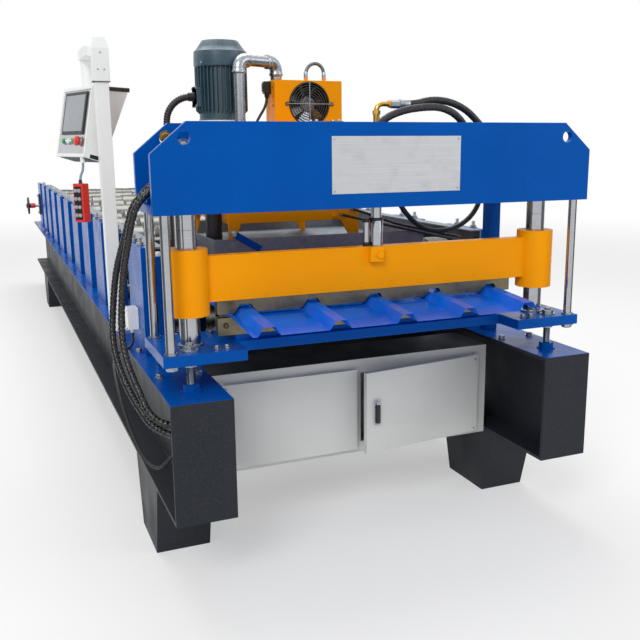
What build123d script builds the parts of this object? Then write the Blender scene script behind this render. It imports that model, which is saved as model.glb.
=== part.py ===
from build123d import *
import math
import os

# Roll forming machine for trapezoidal roof sheet, seen from its delivery end.
# X runs across the machine (+X on the right seen from the front), the front of
# the base beams is at y = 0 and the machine runs back along +Y, the floor is z = 0.

# Base frame
beam_length = 5900
beam_height = 350
flange_width = 175
flange_thickness = 11
web_thickness = 7
beam_centre = 603.5
leg_height = 240
end_cap = 10
leg_width = 172
leg_plate = 10
leg_top = 364
leg_foot = 234
front_leg_y = 464
rear_leg_inset = 1014
tie_count = 4
tie_front_inset = 945
tie_back_inset = 635
tie_height = 180
tie_width = 70
tie_plate = 8
tie_rise = 60
weld_gap = 0.3

# Roll stands
station_first = 705
station_pitch = 480
last_station_inset = 640
stand_face = 650
stand_thickness = 25
stand_width = 270
stand_height = 356
stand_foot = 20
stand_foot_width = 92
shaft_radius = 30
shaft_sides = 12
seat_gap = 0.3
lower_roll_radius = 75
upper_roll_radius = 68
roll_end_gap = 15
pass_line = 776
screw_radius = 11
screw_stand_off = 26
screw_spacing = 120
rail_size = 50
rail_wall = 5

# Chain drive on the right hand side
sprocket_teeth = 17
sprocket_radius = 62
tooth_depth = 9
tooth_shares = (0.25, 0.42, 0.83)
sprocket_width = 12
hub_radius = 34
hub_length = 10
chain_width = 10
chain_depth = 15
motor_station = 5
bracket_gap = 18
bracket_plate = 10
bracket_width = 150
bracket_rise = 82
flange_size = 112
flange_plate = 14
drive_radius = 48
drive_length = 135
drive_shaft_radius = 16
port_radius = 12
port_length = 22
port_spacing = 44

# Formed sheet
sheet_thickness = 0.8
rib_pitch = 210
ribs = 5
rib_height = 25
rib_top = 32
rib_base = 66
sheet_margin = 14
sheet_front = -30
sheet_bend = 165
sheet_droop = 14
sheet_back = 540

# Press
plate_front = 68
plate_depth = 277
plate_inner = 453
plate_outer = 690
plate_top = 707
plate_thickness = 32
support_front = 174
pillar_x = 588
pillar_y = 185
pillar_radius = 30
rod_x = 664
rod_front_y = 91
rod_back_y = 316
rod_radius = 13.5
level_x = 606
level_y = 120
level_radius = 12
level_nut_radius = 19
level_nut = 14
level_foot_radius = 24
level_end = 22
beam_front_y = 63
beam_back_y = 297
press_plate = 20
press_half = 698
press_bottom = 1087
press_corner = 1245
press_top = 1328
press_chamfer = 98
eye_x = 608
eye_z = 1285
eye_radius = 17
seat_thickness = 25
seat_inner = 525
column_x = (566, 612)
column_y = (425, 470)
column_cap = 12
column_cap_out = 640
short_column_x = (-640, -600)
short_column_top = 934
sleeve_radius = 59
sleeve_bottom = 795
sleeve_top = 984
sleeve_play = 0.08
sleeve_weld = 12
holder_y = 166
holder_thickness = 36
holder_bottom = 830
holder_top = 962
blade_y = 190
blade_thickness = 30
blade_left = -505
blade_right = 496
blade_clear = 10
lower_blade_bottom = 722
piston_radius = 21
neck_rod_radius = 16.5
coupling_top = 1040
collar_radius = 22
collar_height = 7
piston_play = 0.05
cylinder_radius = 62
cylinder_flange_half = 150
cylinder_height = 206
bore_depth = 188
piston_reach = 243
clevis_x = -13
clevis_half = 22
clevis_depth = 20
clevis_bottom = 916
pin_radius = 11
pin_head = 6
pin_offset = 9
pin_z = 938
buffer_x = -34
buffer_radius = 9.5
buffer_height = 84

# Hoses of the press
fitting_radius = 11
elbow_radius = 13
fitting_rise = 65
fitting_reach = 75
bulkhead_places = ((-545, 1222), (-560, 1262), (290, 1200), (388, 1215))
outer_bulkhead = (520, 1180)
bulkhead_length = 30
bulkhead_size = 17
hose_sides = 6
left_hose_diameter = 20
press_hose_diameter = 22
loop_hose_diameter = 18
line_diameter = 10
cable_diameter = 9
conduit_diameter = 26
cooler_loop_diameter = 13

# Hydraulic power unit
tray_left = -420
tray_right = 350
tray_front = 520
tray_back = 1230
tray_floor = 912
tray_depth = 52
tray_sheet = 2
tray_bar_width = 40
tray_bar_height = 36
tray_bar_places = (815, 1075)
tank_left = -350
tank_right = 130
tank_front = 600
tank_back = 1150
tank_bottom = 1005
tank_top = 1290
tank_foot = 18
left_gusset = 44
right_gusset = 70
foot_plate = 8
motor_x = -262
motor_y = 950
motor_radius = 83
motor_fins = 24
fin_depth = 12
fin_thickness = 4
fin_sink = 2
bell_height = 69
motor_height = 180
fan_cover_radius = 97
fan_cover_height = 57
crown_height = 36
fan_cover_crown = 66
bell_radius = 66
fin_rise = 12
terminal_box_size = 70
terminal_box_reach = 101
terminal_box_rise = 76
terminal_box_sink = 5
pipe_radius = 20
pipe_x = -232
pipe_y = 824
pipe_rise = 268
pipe_bend = 30
pipe_end_inset = 24
cooler_left = -94
cooler_width = 264
cooler_front = 840
cooler_depth = 105
cooler_lift = 15
cooler_height = 190
fan_side = 134
fan_rise = 106
fan_radius = 74
fan_depth = 45
guard_wire = 4
guard_rings = (24, 50, 76)
guard_reach = 90
plug_size = (26, 24, 44)
plug_drop = 4
loop_fitting_radius = 9
loop_fitting_height = 12
loop_places = (47, 119)
loop_y = 893
canister_x = -384
canister_y = 660
canister_radius = 28
canister_height = 253
valve_x = (-20, 90)
valve_y = (640, 720)
valve_height = 55

# Electrical cabinet
cabinet_play = 0.3
cabinet_front = 345
cabinet_depth = 212
cabinet_bottom = 232
cabinet_top = 560
cabinet_wall = 3
rim = 62
mullion = 40
door_outer = 470
door_bottom = 250
door_top = 530
door_thickness = 18
door_sheet = 2
door_gap = 4
hinge_inset = 6
hinge_radius = 3
hinge_play = 0.05
hinge_lug = 4
hinge_lug_size = 12
hinge_pin_grip = 10
lug_play = 0.5
door_meeting = 2
door_ajar = 7
opening_bottom = 36
opening_top = 48
lock_x = (30, 50)
lock_z = (355, 430)
lock_depth = 6

# Control post, box and pendant
post_x = -676
post_y = 1035
post_size = 47
post_foot = 70
post_foot_front = 978
post_foot_plate = 10
post_top = 1487
cap_size = 57
cap_height = 151
cap_taper = 38
cap_slope = 15
box_x = -696
box_y = 1087
box_width = 283
box_turn = 15
box_profile = ((0, 1478), (-51, 1225), (19, 1204), (137, 1473))
neck_x = -704
neck_y = 1210
neck_radius = 19
arm_drop = 30
arm_height = 34
arm_half = 23
socket_depth = 22
neck_sink = 8
neck_play = 0.3
screen_y = (36, 246)
screen_z = (82, 238)
screen_depth = 6
button_places = (207, 160, 113)
button_z = 57
button_radius = 10
button_depth = 13
stop_y = 65
stop_radius = 18
stop_depth = 21
gland_x = -43
gland_y = 42
gland_z = 1203
gland_length = 23
gland_radius = 9
pendant_x = -762
pendant_y = 1117
pendant_top = 1129
pendant_size = (45, 38, 141)
pendant_corner = 5
pendant_turn = -48

# Limit switch on the first stand
switch_y = (672, 728)
switch_z = (658, 732)
switch_depth = 38
switch_gland_radius = 8
switch_gland_length = 14

# Entry end
entry_inset = 395
wheel_x = -746
wheel_z = 758
wheel_radius = 72
wheel_rim = 11
wheel_width = 14
wheel_play = 0.05
wheel_hub_radius = 19
wheel_hub_length = 34
screw_end_inset = 5
spoke_width = 13
spokes = 3
entry_screw_radius = 12
entry_play = 0.3
guide_x = 470
guide_width = 40
guide_length = 160
guide_below = 30
guide_above = 40


def block(x, y, z):
    """A box between the two values of each span."""
    size = [span[1] - span[0] for span in (x, y, z)]
    middle = [(span[1] + span[0]) / 2 for span in (x, y, z)]
    return Pos(*middle) * Box(*size)


def bar_z(x, y, z0, z1, radius):
    return Pos(x, y, (z0 + z1) / 2) * Cylinder(radius, z1 - z0)


def bar_y(x, z, y0, y1, radius):
    return Pos(x, (y0 + y1) / 2, z) * Rot(90, 0, 0) * Cylinder(radius, y1 - y0)


def bar_x(y, z, x0, x1, radius):
    return Pos((x0 + x1) / 2, y, z) * Rot(0, 90, 0) * Cylinder(radius, x1 - x0)


def nut_z(x, y, z0, z1, radius, sides=6):
    """A bar with flat sides along Z, such as a nut or a screw head."""
    return extrude(Pos(x, y, z0) * RegularPolygon(radius, sides), z1 - z0)


def nut_x(y, z, x0, x1, radius, sides=6):
    """A bar with flat sides along X."""
    return Pos(x0, y, z) * Rot(0, 90, 0) * extrude(RegularPolygon(radius, sides), x1 - x0)


def prism_y(points, y0, y1):
    """A closed outline of (x, z) points, drawn out from y0 to y1."""
    face = make_face(Polyline(*[(x, y0, z) for x, z in points], close=True))
    return extrude(face, amount=y1 - y0, dir=(0, 1, 0))


def prism_x(points, x0, x1):
    """A closed outline of (y, z) points, drawn out from x0 to x1."""
    face = make_face(Polyline(*[(x0, y, z) for y, z in points], close=True))
    return extrude(face, amount=x1 - x0, dir=(1, 0, 0))


def span(middle, size):
    return (middle - size / 2, middle + size / 2)


def joined(solids):
    """Several separate solids as one node."""
    return Compound(children=list(solids))


beam_top = leg_height + beam_height
stand_top = beam_top + stand_height
inner_face = stand_face - stand_thickness
stations = int((beam_length - last_station_inset - station_first) / station_pitch) + 1
station_y = [station_first + i * station_pitch for i in range(stations)]
tie_pitch = (beam_length - tie_front_inset - tie_back_inset) / (tie_count - 1)
tie_y = [tie_front_inset + i * tie_pitch for i in range(tie_count)]
rib_x = [rib_pitch * (i - (ribs - 1) / 2) for i in range(ribs)]


def base_beam(side):
    """A rolled I-beam, with a plate welded over its front end."""
    centre = side * beam_centre
    half = flange_width / 2
    beam = block(span(centre, flange_width), (0, beam_length), (leg_height, beam_top))
    pocket = half - web_thickness / 2
    for hand in (-1, 1):
        middle = centre + hand * (web_thickness / 2 + pocket / 2)
        inner = (leg_height + flange_thickness, beam_top - flange_thickness)
        beam -= block(span(middle, pocket), (end_cap, beam_length + 1), inner)
    return beam


def leg(side, y):
    """A leg of bent plate that narrows towards the floor."""
    centre = side * beam_centre

    def outline(inset):
        top, foot = leg_top / 2 - inset, leg_foot / 2 - inset
        return ((y - top, leg_height), (y + top, leg_height), (y + foot, 0), (y - foot, 0))

    outer = prism_x(outline(0), *span(centre, leg_width))
    inner = prism_x(outline(leg_plate), *span(centre, leg_width - 2 * leg_plate))
    return outer - inner


def cross_tie(y):
    """A channel between the webs of the two beams."""
    reach = beam_centre - web_thickness / 2 - weld_gap
    low = leg_height + flange_thickness + tie_rise
    tie = block((-reach, reach), span(y, tie_width), (low, low + tie_height))
    hollow = (low + tie_plate, low + tie_height - tie_plate)
    return tie - block((-reach, reach), (y - tie_width / 2 + tie_plate, y + tie_width), hollow)


lower_shaft_z = pass_line - sheet_thickness - lower_roll_radius
upper_shaft_z = pass_line + upper_roll_radius


def stand(side, y):
    """One stand plate on its foot, which holds a pair of shaft ends."""
    across = sorted((side * stand_face, side * inner_face))
    plate = block(across, span(y, stand_width), (beam_top, stand_top))
    foot = sorted((side * stand_face, side * (stand_face - stand_foot_width)))
    return plate + block(foot, span(y, stand_width), (beam_top, beam_top + stand_foot))


def adjusting_screws(side, y):
    """The pair of screws that stand on a stand plate over its upper shaft."""
    x = side * (stand_face - stand_thickness / 2)
    places = span(y, screw_spacing)
    return joined(nut_z(x, place, stand_top, stand_top + screw_stand_off, screw_radius) for place in places)


def roll_shaft(y, z, radius):
    """A shaft end to end between the stand plates, with its forming barrel."""
    reach = inner_face - seat_gap
    barrel = inner_face - rail_size - roll_end_gap
    return nut_x(y, z, -reach, reach, shaft_radius, shaft_sides) + bar_x(y, z, -barrel, barrel, radius)


def stand_rail(side):
    """An angle along the tops of the stands, on their inner faces."""
    along = (station_y[0] - stand_width / 2, station_y[-1] + stand_width / 2)
    across = sorted((side * inner_face, side * (inner_face - rail_size)))
    lip = sorted((side * inner_face, side * (inner_face - rail_wall)))
    rail = block(across, along, (stand_top - rail_wall, stand_top))
    return rail + block(lip, along, (stand_top - rail_size, stand_top))


sprocket_x = stand_face + seat_gap + hub_length


def sprocket(y):
    """A chain wheel with straight flanked teeth and a hub towards its stand."""
    root = sprocket_radius - tooth_depth
    gap, rise, fall = tooth_shares
    points = []
    for i in range(sprocket_teeth):
        step = 2 * math.pi / sprocket_teeth
        for share, radius in ((0, root), (gap, root), (rise, sprocket_radius), (fall, sprocket_radius)):
            angle = (i + share) * step
            points.append((y + radius * math.cos(angle), lower_shaft_z + radius * math.sin(angle)))
    wheel = prism_x(points, sprocket_x, sprocket_x + sprocket_width)
    return wheel + nut_x(y, lower_shaft_z, sprocket_x - hub_length, sprocket_x, hub_radius, shaft_sides)


def drive_chain():
    """One loop of chain round all the chain wheels, as a plain band."""
    length = station_y[-1] - station_y[0]
    middle = (station_y[-1] + station_y[0]) / 2
    inner = sprocket_radius + seat_gap
    outer = inner + chain_depth
    loop = SlotCenterToCenter(length, 2 * outer) - SlotCenterToCenter(length, 2 * inner)
    x = sprocket_x + (sprocket_width - chain_width) / 2
    return Pos(x, middle, lower_shaft_z) * Rot(0, 90, 0) * Rot(0, 0, 90) * extrude(loop, chain_width)


bracket_x = sprocket_x + sprocket_width + bracket_gap
drive_y = station_first + motor_station * station_pitch


def motor_bracket():
    """The upright plate on the right hand beam that carries the drive motor."""
    top = lower_shaft_z + bracket_rise
    across = (bracket_x - bracket_plate, bracket_x)
    plate = block(across, span(drive_y, bracket_width), (beam_top, top))
    hole = drive_shaft_radius + seat_gap
    return plate - bar_x(drive_y, lower_shaft_z, across[0] - 1, across[1] + 1, hole)


def drive_motor():
    """A hydraulic motor with its square flange, its shaft and two ports."""
    face = bracket_x + seat_gap
    end = face + flange_plate
    flange = block((face, end), span(drive_y, flange_size), span(lower_shaft_z, flange_size))
    motor = flange + bar_x(drive_y, lower_shaft_z, end, end + drive_length, drive_radius)
    start = sprocket_x + sprocket_width + seat_gap
    motor += bar_x(drive_y, lower_shaft_z, start, face, drive_shaft_radius)
    for x in span(end + drive_length / 2, port_spacing):
        top = lower_shaft_z + drive_radius + port_length
        motor += nut_z(x, drive_y, lower_shaft_z, top, port_radius)
    return motor


def rib_outline(offset, low, high, left, right):
    """Points of the sheet's profile from left to right, moved up by offset."""
    points = [(left, low + offset)]
    for x in rib_x:
        points.append((x - rib_base / 2, low + offset))
        points.append((x - rib_top / 2, high + offset))
        points.append((x + rib_top / 2, high + offset))
        points.append((x + rib_base / 2, low + offset))
    points.append((right, low + offset))
    return points


def formed_sheet():
    """The profiled sheet, which droops a little past the blades."""
    edge = rib_x[-1] + rib_base / 2 + sheet_margin
    low = pass_line - sheet_thickness
    under = rib_outline(0, low, low + rib_height, -edge, edge)
    over = rib_outline(sheet_thickness, low, low + rib_height, -edge, edge)
    outline = under + over[::-1]
    end = make_face(Polyline(*[(x, sheet_bend, z) for x, z in outline], close=True))
    fall = Vector(0, sheet_front - sheet_bend, -sheet_droop)
    return prism_y(outline, sheet_bend, sheet_back) + extrude(end, amount=fall.length, dir=fall)


def base_plate(side):
    """The thick plate that carries one pillar and two tie rods."""
    across = sorted((side * plate_inner, side * plate_outer))
    along = (plate_front, plate_front + plate_depth)
    plate = block(across, along, (plate_top - plate_thickness, plate_top))
    return plate - bar_z(side * level_x, level_y, beam_top, plate_top + 1, level_radius)


def levelling_screw(side, y):
    """A stud with nuts over and under the base plate, and a foot on the beam."""
    x = side * level_x
    under = plate_top - plate_thickness
    screw = bar_z(x, y, beam_top, plate_top + level_end, level_radius)
    screw += nut_z(x, y, beam_top, beam_top + level_nut, level_foot_radius)
    screw += nut_z(x, y, plate_top, plate_top + level_nut, level_nut_radius)
    return screw + nut_z(x, y, under - level_nut, under, level_nut_radius)


def tie_rod(side, y):
    return bar_z(side * rod_x, y, plate_top, press_bottom, rod_radius)


def guide_pillar(side):
    return bar_z(side * pillar_x, pillar_y, plate_top, press_bottom, pillar_radius)


def press_beam_plate(y):
    """A deep plate with cut corners and two lifting eyes."""
    corner = press_half - press_chamfer
    half = [(press_half, press_bottom), (press_half, press_corner), (corner, press_top)]
    other = [(-x, z) for x, z in reversed(half)]
    plate = prism_y(half + other, y, y + press_plate)
    for side in (-1, 1):
        plate -= bar_y(side * eye_x, eye_z, y - 1, y + press_plate + 1, eye_radius)
    return plate


between_plates = (beam_front_y + press_plate, beam_back_y)


def press_seat(side):
    """The flat plate between the two deep plates, over one pillar."""
    across = sorted((side * seat_inner, side * press_half))
    return block(across, between_plates, (press_bottom, press_bottom + seat_thickness))


def rear_columns():
    """The tall post under the back plate on the right, and the short one on the left."""
    top = press_bottom - column_cap
    tall = block(column_x, column_y, (beam_top, top))
    tall += block((column_x[0], column_cap_out), (beam_back_y, column_y[1]), (top, press_bottom))
    return joined([tall, block(short_column_x, column_y, (beam_top, short_column_top))])


cylinder_bottom = press_bottom + seat_thickness
cylinder_top = cylinder_bottom + cylinder_height


def press_cylinder():
    """The cylinder between the deep plates, on its flange plate."""
    half = (-cylinder_flange_half, cylinder_flange_half)
    body = bar_z(0, pillar_y, cylinder_bottom, cylinder_top, cylinder_radius)
    body += block(half, between_plates, (press_bottom, cylinder_bottom))
    bore = neck_rod_radius + piston_play
    return body - bar_z(0, pillar_y, press_bottom - 1, cylinder_bottom + bore_depth, bore)


def cylinder_elbow():
    """The brass elbow on the port in the cylinder's top."""
    top = cylinder_top + fitting_rise
    elbow = bar_z(0, pillar_y, cylinder_top, top, fitting_radius)
    return elbow + nut_x(pillar_y, top, -elbow_radius, fitting_reach, elbow_radius)


def hose_couplings():
    """Hexagon couplings through the back plate, which the hoses end in."""
    pieces = []
    for x, z in bulkhead_places:
        nut = Pos(x, beam_back_y, z) * Rot(90, 0, 0) * RegularPolygon(bulkhead_size, 6)
        pieces.append(extrude(nut, bulkhead_length))
    x, z = outer_bulkhead
    nut = Pos(x, beam_back_y + press_plate, z) * Rot(90, 0, 0) * RegularPolygon(bulkhead_size, 6)
    pieces.append(extrude(nut, -bulkhead_length))
    return pieces


def blade_holder():
    """The cross plate between the guide sleeves, with the clevis of the piston."""
    reach = pillar_x - sleeve_radius + sleeve_weld
    plate = block((-reach, reach), (holder_y, holder_y + holder_thickness), (holder_bottom, holder_top))
    front = holder_y - clevis_depth
    across = span(clevis_x, 2 * clevis_half)
    plate += block(across, (front, holder_y), (clevis_bottom, holder_top))
    plate += bar_y(clevis_x + pin_offset, pin_z, front - pin_head, front, pin_radius)
    for side in (-1, 1):
        plate += bar_z(side * pillar_x, pillar_y, sleeve_bottom, sleeve_top, sleeve_radius)
    for side in (-1, 1):
        bore = pillar_radius + sleeve_play
        plate -= bar_z(side * pillar_x, pillar_y, sleeve_bottom - 1, sleeve_top + 1, bore)
    return plate


def piston_rod():
    """The coupling on the holder with its collar, and the rod into the cylinder."""
    rod = bar_z(0, pillar_y, holder_top, coupling_top, piston_radius)
    rod += bar_z(0, pillar_y, coupling_top, coupling_top + collar_height, collar_radius)
    return rod + bar_z(0, pillar_y, coupling_top, holder_top + piston_reach, neck_rod_radius)


def buffer_tube():
    """The short chromed tube that stands on the holder beside the coupling."""
    return bar_z(buffer_x, pillar_y, holder_top, holder_top + buffer_height, buffer_radius)


def upper_blade():
    """The moving shear blade, notched over each rib of the sheet."""
    low = pass_line + blade_clear
    edge = rib_outline(0, low, low + rib_height, blade_left, blade_right)
    points = edge + [(blade_right, holder_bottom), (blade_left, holder_bottom)]
    return prism_y(points, blade_y, blade_y + blade_thickness)


def lower_blade():
    """The fixed blade, whose edge follows the underside of the sheet."""
    low = pass_line - sheet_thickness - seat_gap
    edge = rib_outline(0, low, low + rib_height, blade_left, blade_right)
    points = edge + [(blade_right, lower_blade_bottom), (blade_left, lower_blade_bottom)]
    return prism_y(points, blade_y, blade_y + blade_thickness)


def blade_support():
    """The beam between the base plates that carries the fixed blade."""
    across = (-plate_inner, plate_inner)
    along = (support_front, plate_front + plate_depth)
    top = block(across, along, (plate_top - plate_thickness, plate_top))
    return top + block(across, (blade_y, blade_y + blade_thickness), (plate_top, lower_blade_bottom))


cabinet_half = beam_centre - flange_width / 2 - cabinet_play
cabinet_back = cabinet_front + cabinet_depth
hinge_x = door_outer - hinge_inset
hinge_y = cabinet_front - door_gap - hinge_inset


def cabinet_body():
    """A sheet steel box with a front frame that has two door openings."""
    across = (-cabinet_half, cabinet_half)
    body = block(across, (cabinet_front, cabinet_back), (cabinet_bottom, cabinet_top))
    inner = cabinet_half - cabinet_wall
    body -= block(
        (-inner, inner),
        (cabinet_front + cabinet_wall, cabinet_back - cabinet_wall),
        (cabinet_bottom + cabinet_wall, cabinet_top - cabinet_wall),
    )
    front = (cabinet_front - 1, cabinet_front + cabinet_wall + 1)
    opening = (cabinet_bottom + opening_bottom, cabinet_top - opening_top)
    upper = (door_top + lug_play, (door_top - hinge_pin_grip, door_top + lug_play + hinge_lug))
    under = door_bottom - lug_play - hinge_lug
    lower = (under, (under, door_bottom + hinge_pin_grip))
    lug_y = (hinge_y - hinge_lug_size / 2, cabinet_front)
    for side in (-1, 1):
        body -= block(sorted((side * mullion / 2, side * (cabinet_half - rim))), front, opening)
        for low, pin in (upper, lower):
            body += block(span(side * hinge_x, hinge_lug_size), lug_y, (low, low + hinge_lug))
            body += bar_z(side * hinge_x, hinge_y, *pin, hinge_radius)
    return body


def door(side):
    """A pan door hung on its outer edge, with a lock on the right hand one."""
    across = sorted((side * door_meeting, side * door_outer))
    face = cabinet_front - door_gap - door_thickness
    panel = block(across, (face, face + door_thickness), (door_bottom, door_top))
    panel -= block(
        (across[0] + door_sheet, across[1] - door_sheet),
        (face + door_sheet, cabinet_front),
        (door_bottom + door_sheet, door_top - door_sheet),
    )
    panel -= bar_z(side * hinge_x, hinge_y, door_bottom - 1, door_top + 1, hinge_radius + hinge_play)
    if side > 0:
        panel += block(lock_x, (face - lock_depth, face), lock_z)
        panel = panel.rotate(Axis((hinge_x, hinge_y, 0), (0, 0, 1)), door_ajar)
    return panel


def tray_bar(y):
    """A bar from rail to rail, between two roll stations, under the tray."""
    reach = inner_face - rail_wall - weld_gap
    top = tray_floor - weld_gap
    return block((-reach, reach), span(y, tray_bar_width), (top - tray_bar_height, top))


def oil_tray():
    top = tray_floor + tray_depth
    tray = block((tray_left, tray_right), (tray_front, tray_back), (tray_floor, top))
    return tray - block(
        (tray_left + tray_sheet, tray_right - tray_sheet),
        (tray_front + tray_sheet, tray_back - tray_sheet),
        (tray_floor + tray_sheet, top + 1),
    )


def oil_tank():
    """The oil tank on four gusseted feet."""
    tank = block((tank_left, tank_right), (tank_front, tank_back), (tank_bottom, tank_top))
    floor = tray_floor + tray_sheet
    for x, wide, narrow in (
        (tank_left, tank_left + left_gusset, tank_left + tank_foot),
        (tank_right, tank_right - right_gusset, tank_right - tank_foot),
    ):
        outline = ((x, tank_bottom), (wide, tank_bottom), (narrow, floor), (x, floor))
        for y in (tank_front, tank_back - foot_plate):
            tank += prism_y(outline, y, y + foot_plate)
    return tank


def valve_block():
    """The valve block on the tank that the press hoses lead to."""
    return block(valve_x, valve_y, (tank_top, tank_top + valve_height))


motor_bottom = tank_top + bell_height
motor_top = motor_bottom + motor_height
fan_cover_top = motor_top + fan_cover_height


def pump_motor():
    """A finned upright motor with its fan cover on top and a bell housing below."""
    motor = bar_z(motor_x, motor_y, tank_top, motor_bottom, bell_radius)
    motor += bar_z(motor_x, motor_y, motor_bottom, motor_top, motor_radius)
    motor += bar_z(motor_x, motor_y, motor_top, fan_cover_top, fan_cover_radius)
    crown = Cone(fan_cover_radius, fan_cover_crown, crown_height)
    motor += Pos(motor_x, motor_y, fan_cover_top + crown_height / 2) * crown
    out = (motor_radius - fin_sink, motor_radius + fin_depth)
    fin = block(out, span(0, fin_thickness), (motor_bottom + fin_rise, motor_top))
    for i in range(motor_fins):
        motor += Pos(motor_x, motor_y, 0) * Rot(0, 0, i * 360 / motor_fins) * fin
    middle = motor_bottom + terminal_box_rise
    terminals = (motor_x - terminal_box_reach, motor_x - motor_radius + terminal_box_sink)
    return motor + block(terminals, span(motor_y, terminal_box_size), span(middle, terminal_box_size))


cooler_right = cooler_left + cooler_width
cooler_back = cooler_front + cooler_depth
cooler_bottom = tank_top + cooler_lift
cooler_top = cooler_bottom + cooler_height
fan_x = cooler_left + fan_side
fan_z = cooler_bottom + fan_rise


def return_pipe():
    """The pipe from the tank up, across and down into the cooler, with mitred bends."""
    start = Vector(pipe_x, pipe_y, tank_top)
    corner = Vector(pipe_x, pipe_y, tank_top + pipe_rise)
    end = Vector(cooler_left + pipe_end_inset, (cooler_front + cooler_back) / 2, cooler_top)
    turn = Vector(end.X, end.Y, corner.Z)
    along = (turn - corner).normalized() * pipe_bend
    drop = Vector(0, 0, pipe_bend)
    path = Polyline(start, corner - drop, corner + along, turn - along, turn - drop, end)
    profile = Plane(origin=start, z_dir=(0, 0, 1)) * Circle(pipe_radius)
    return sweep(profile, path, transition=Transition.RIGHT)


def oil_cooler():
    """The air blast cooler on its foot bracket."""
    body = block((cooler_left, cooler_right), (cooler_front, cooler_back), (cooler_bottom, cooler_top))
    body += block((cooler_left, tank_right), (cooler_front, cooler_back), (tank_top, cooler_bottom))
    for x in loop_places:
        body += nut_z(x, loop_y, cooler_top, cooler_top + loop_fitting_height, loop_fitting_radius)
    return body - bar_y(fan_x, fan_z, cooler_front - 1, cooler_front + fan_depth, fan_radius)


def cooler_guard():
    """Flat rings with an upright bar and a level one over the cooler's fan."""
    across = (cooler_front - guard_wire, cooler_front)
    guard = None
    for radius in guard_rings:
        ring = bar_y(fan_x, fan_z, *across, radius + guard_wire / 2)
        ring -= bar_y(fan_x, fan_z, across[0] - 1, across[1] + 1, radius - guard_wire / 2)
        guard = ring if guard is None else guard + ring
    guard += block(span(fan_x, guard_wire), across, span(fan_z, 2 * guard_rings[-1]))
    return guard + block(span(fan_x, 2 * guard_reach), across, span(fan_z, guard_wire))


def cooler_plug():
    """The cable plug on the cooler's left side."""
    x, y, z = plug_size
    top = cooler_top - plug_drop
    right = cooler_left - seat_gap
    return block((right - x, right), span((cooler_front + cooler_back) / 2, y), (top - z, top))


def filter_canister():
    floor = tray_floor + tray_sheet
    return bar_z(canister_x, canister_y, floor, floor + canister_height, canister_radius)


cap_shoulder = post_top + cap_height - cap_taper
arm_top = post_top + cap_height - arm_drop
arm_bottom = arm_top - arm_height


def control_post():
    """The square post with its cap housing and the arm to the swivel neck."""
    foot = (beam_top, beam_top + post_foot_plate)
    post = block(span(post_x, post_size), span(post_y, post_size), (beam_top, post_top))
    along = (post_foot_front, post_foot_front + post_foot)
    post += block((post_x - post_size / 2, post_x + post_foot), along, foot)
    post += block(span(post_x, cap_size), span(post_y, cap_size), (post_top, cap_shoulder))
    top = Pos(post_x, post_y, cap_shoulder) * Rectangle(cap_size, cap_size)
    post += extrude(top, cap_taper, taper=cap_slope)
    post += block((neck_x - arm_half, post_x), (post_y, neck_y + arm_half), (arm_bottom, arm_top))
    socket = (arm_bottom - 1, arm_bottom + socket_depth)
    return post - bar_z(neck_x, neck_y, *socket, neck_radius + neck_play)


def turned(x, y):
    """A place in the control box's own plan, as a place in the machine."""
    turn = math.radians(box_turn)
    return (
        box_x + x * math.cos(turn) - y * math.sin(turn),
        box_y + x * math.sin(turn) + y * math.cos(turn),
    )


def control_box():
    """The sloping operator's box with its swivel neck."""
    outline = [(x, 0, z) for x, z in box_profile]
    body = extrude(make_face(Polyline(*outline, close=True)), amount=box_width, dir=(0, 1, 0))
    body = Pos(box_x, box_y, 0) * Rot(0, 0, box_turn) * body
    low = box_profile[0][1] - neck_sink
    body += bar_z(neck_x, neck_y, low, arm_bottom + socket_depth - neck_play, neck_radius)
    return body + bar_z(*turned(gland_x, gland_y), gland_z, gland_z + gland_length, gland_radius)


def on_panel(solid):
    """Places a solid drawn on the YZ plane, facing -X, on the sloping panel."""
    (x0, z0), (x1, z1) = box_profile[1], box_profile[0]
    lean = math.degrees(math.atan2(x1 - x0, z1 - z0))
    return Pos(box_x, box_y, 0) * Rot(0, 0, box_turn) * Pos(x0, 0, z0) * Rot(0, lean, 0) * solid


def control_screen():
    return on_panel(block((-screen_depth, 0), screen_y, screen_z))


def control_buttons():
    return joined(on_panel(bar_x(y, button_z, -button_depth, 0, button_radius)) for y in button_places)


def stop_button():
    return on_panel(bar_x(stop_y, button_z, -stop_depth, 0, stop_radius))


def pendant():
    x, y, z = pendant_size
    body = Box(x, y, z)
    body = fillet(body.edges().filter_by(Axis.Z), pendant_corner)
    return Pos(pendant_x, pendant_y, pendant_top - z / 2) * Rot(0, 0, pendant_turn) * body


def limit_switch():
    """The white switch box on the first stand, with its cable gland below."""
    right = -stand_face - seat_gap
    across = (right - switch_depth, right)
    box = block(across, switch_y, switch_z)
    x, y = sum(across) / 2, sum(switch_y) / 2
    return box + nut_z(x, y, switch_z[0] - switch_gland_length, switch_z[0], switch_gland_radius)


entry_y = beam_length - entry_inset


def handwheel():
    """A rim, hub and three spokes on the end of the guide screw."""
    half = wheel_width / 2
    rim = bar_x(0, 0, -half, half, wheel_radius)
    rim -= bar_x(0, 0, -half - 1, half + 1, wheel_radius - wheel_rim)
    wheel = rim + bar_x(0, 0, *span(0, wheel_hub_length), wheel_hub_radius)
    spoke = block(span(0, wheel_width), span(0, spoke_width), (0, wheel_radius - wheel_rim / 2))
    for i in range(spokes):
        wheel += Rot(i * 360 / spokes, 0, 0) * spoke
    bore = entry_screw_radius + wheel_play
    wheel -= bar_x(0, 0, *span(0, wheel_hub_length + 2), bore)
    return Pos(wheel_x, entry_y, wheel_z) * wheel


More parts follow.
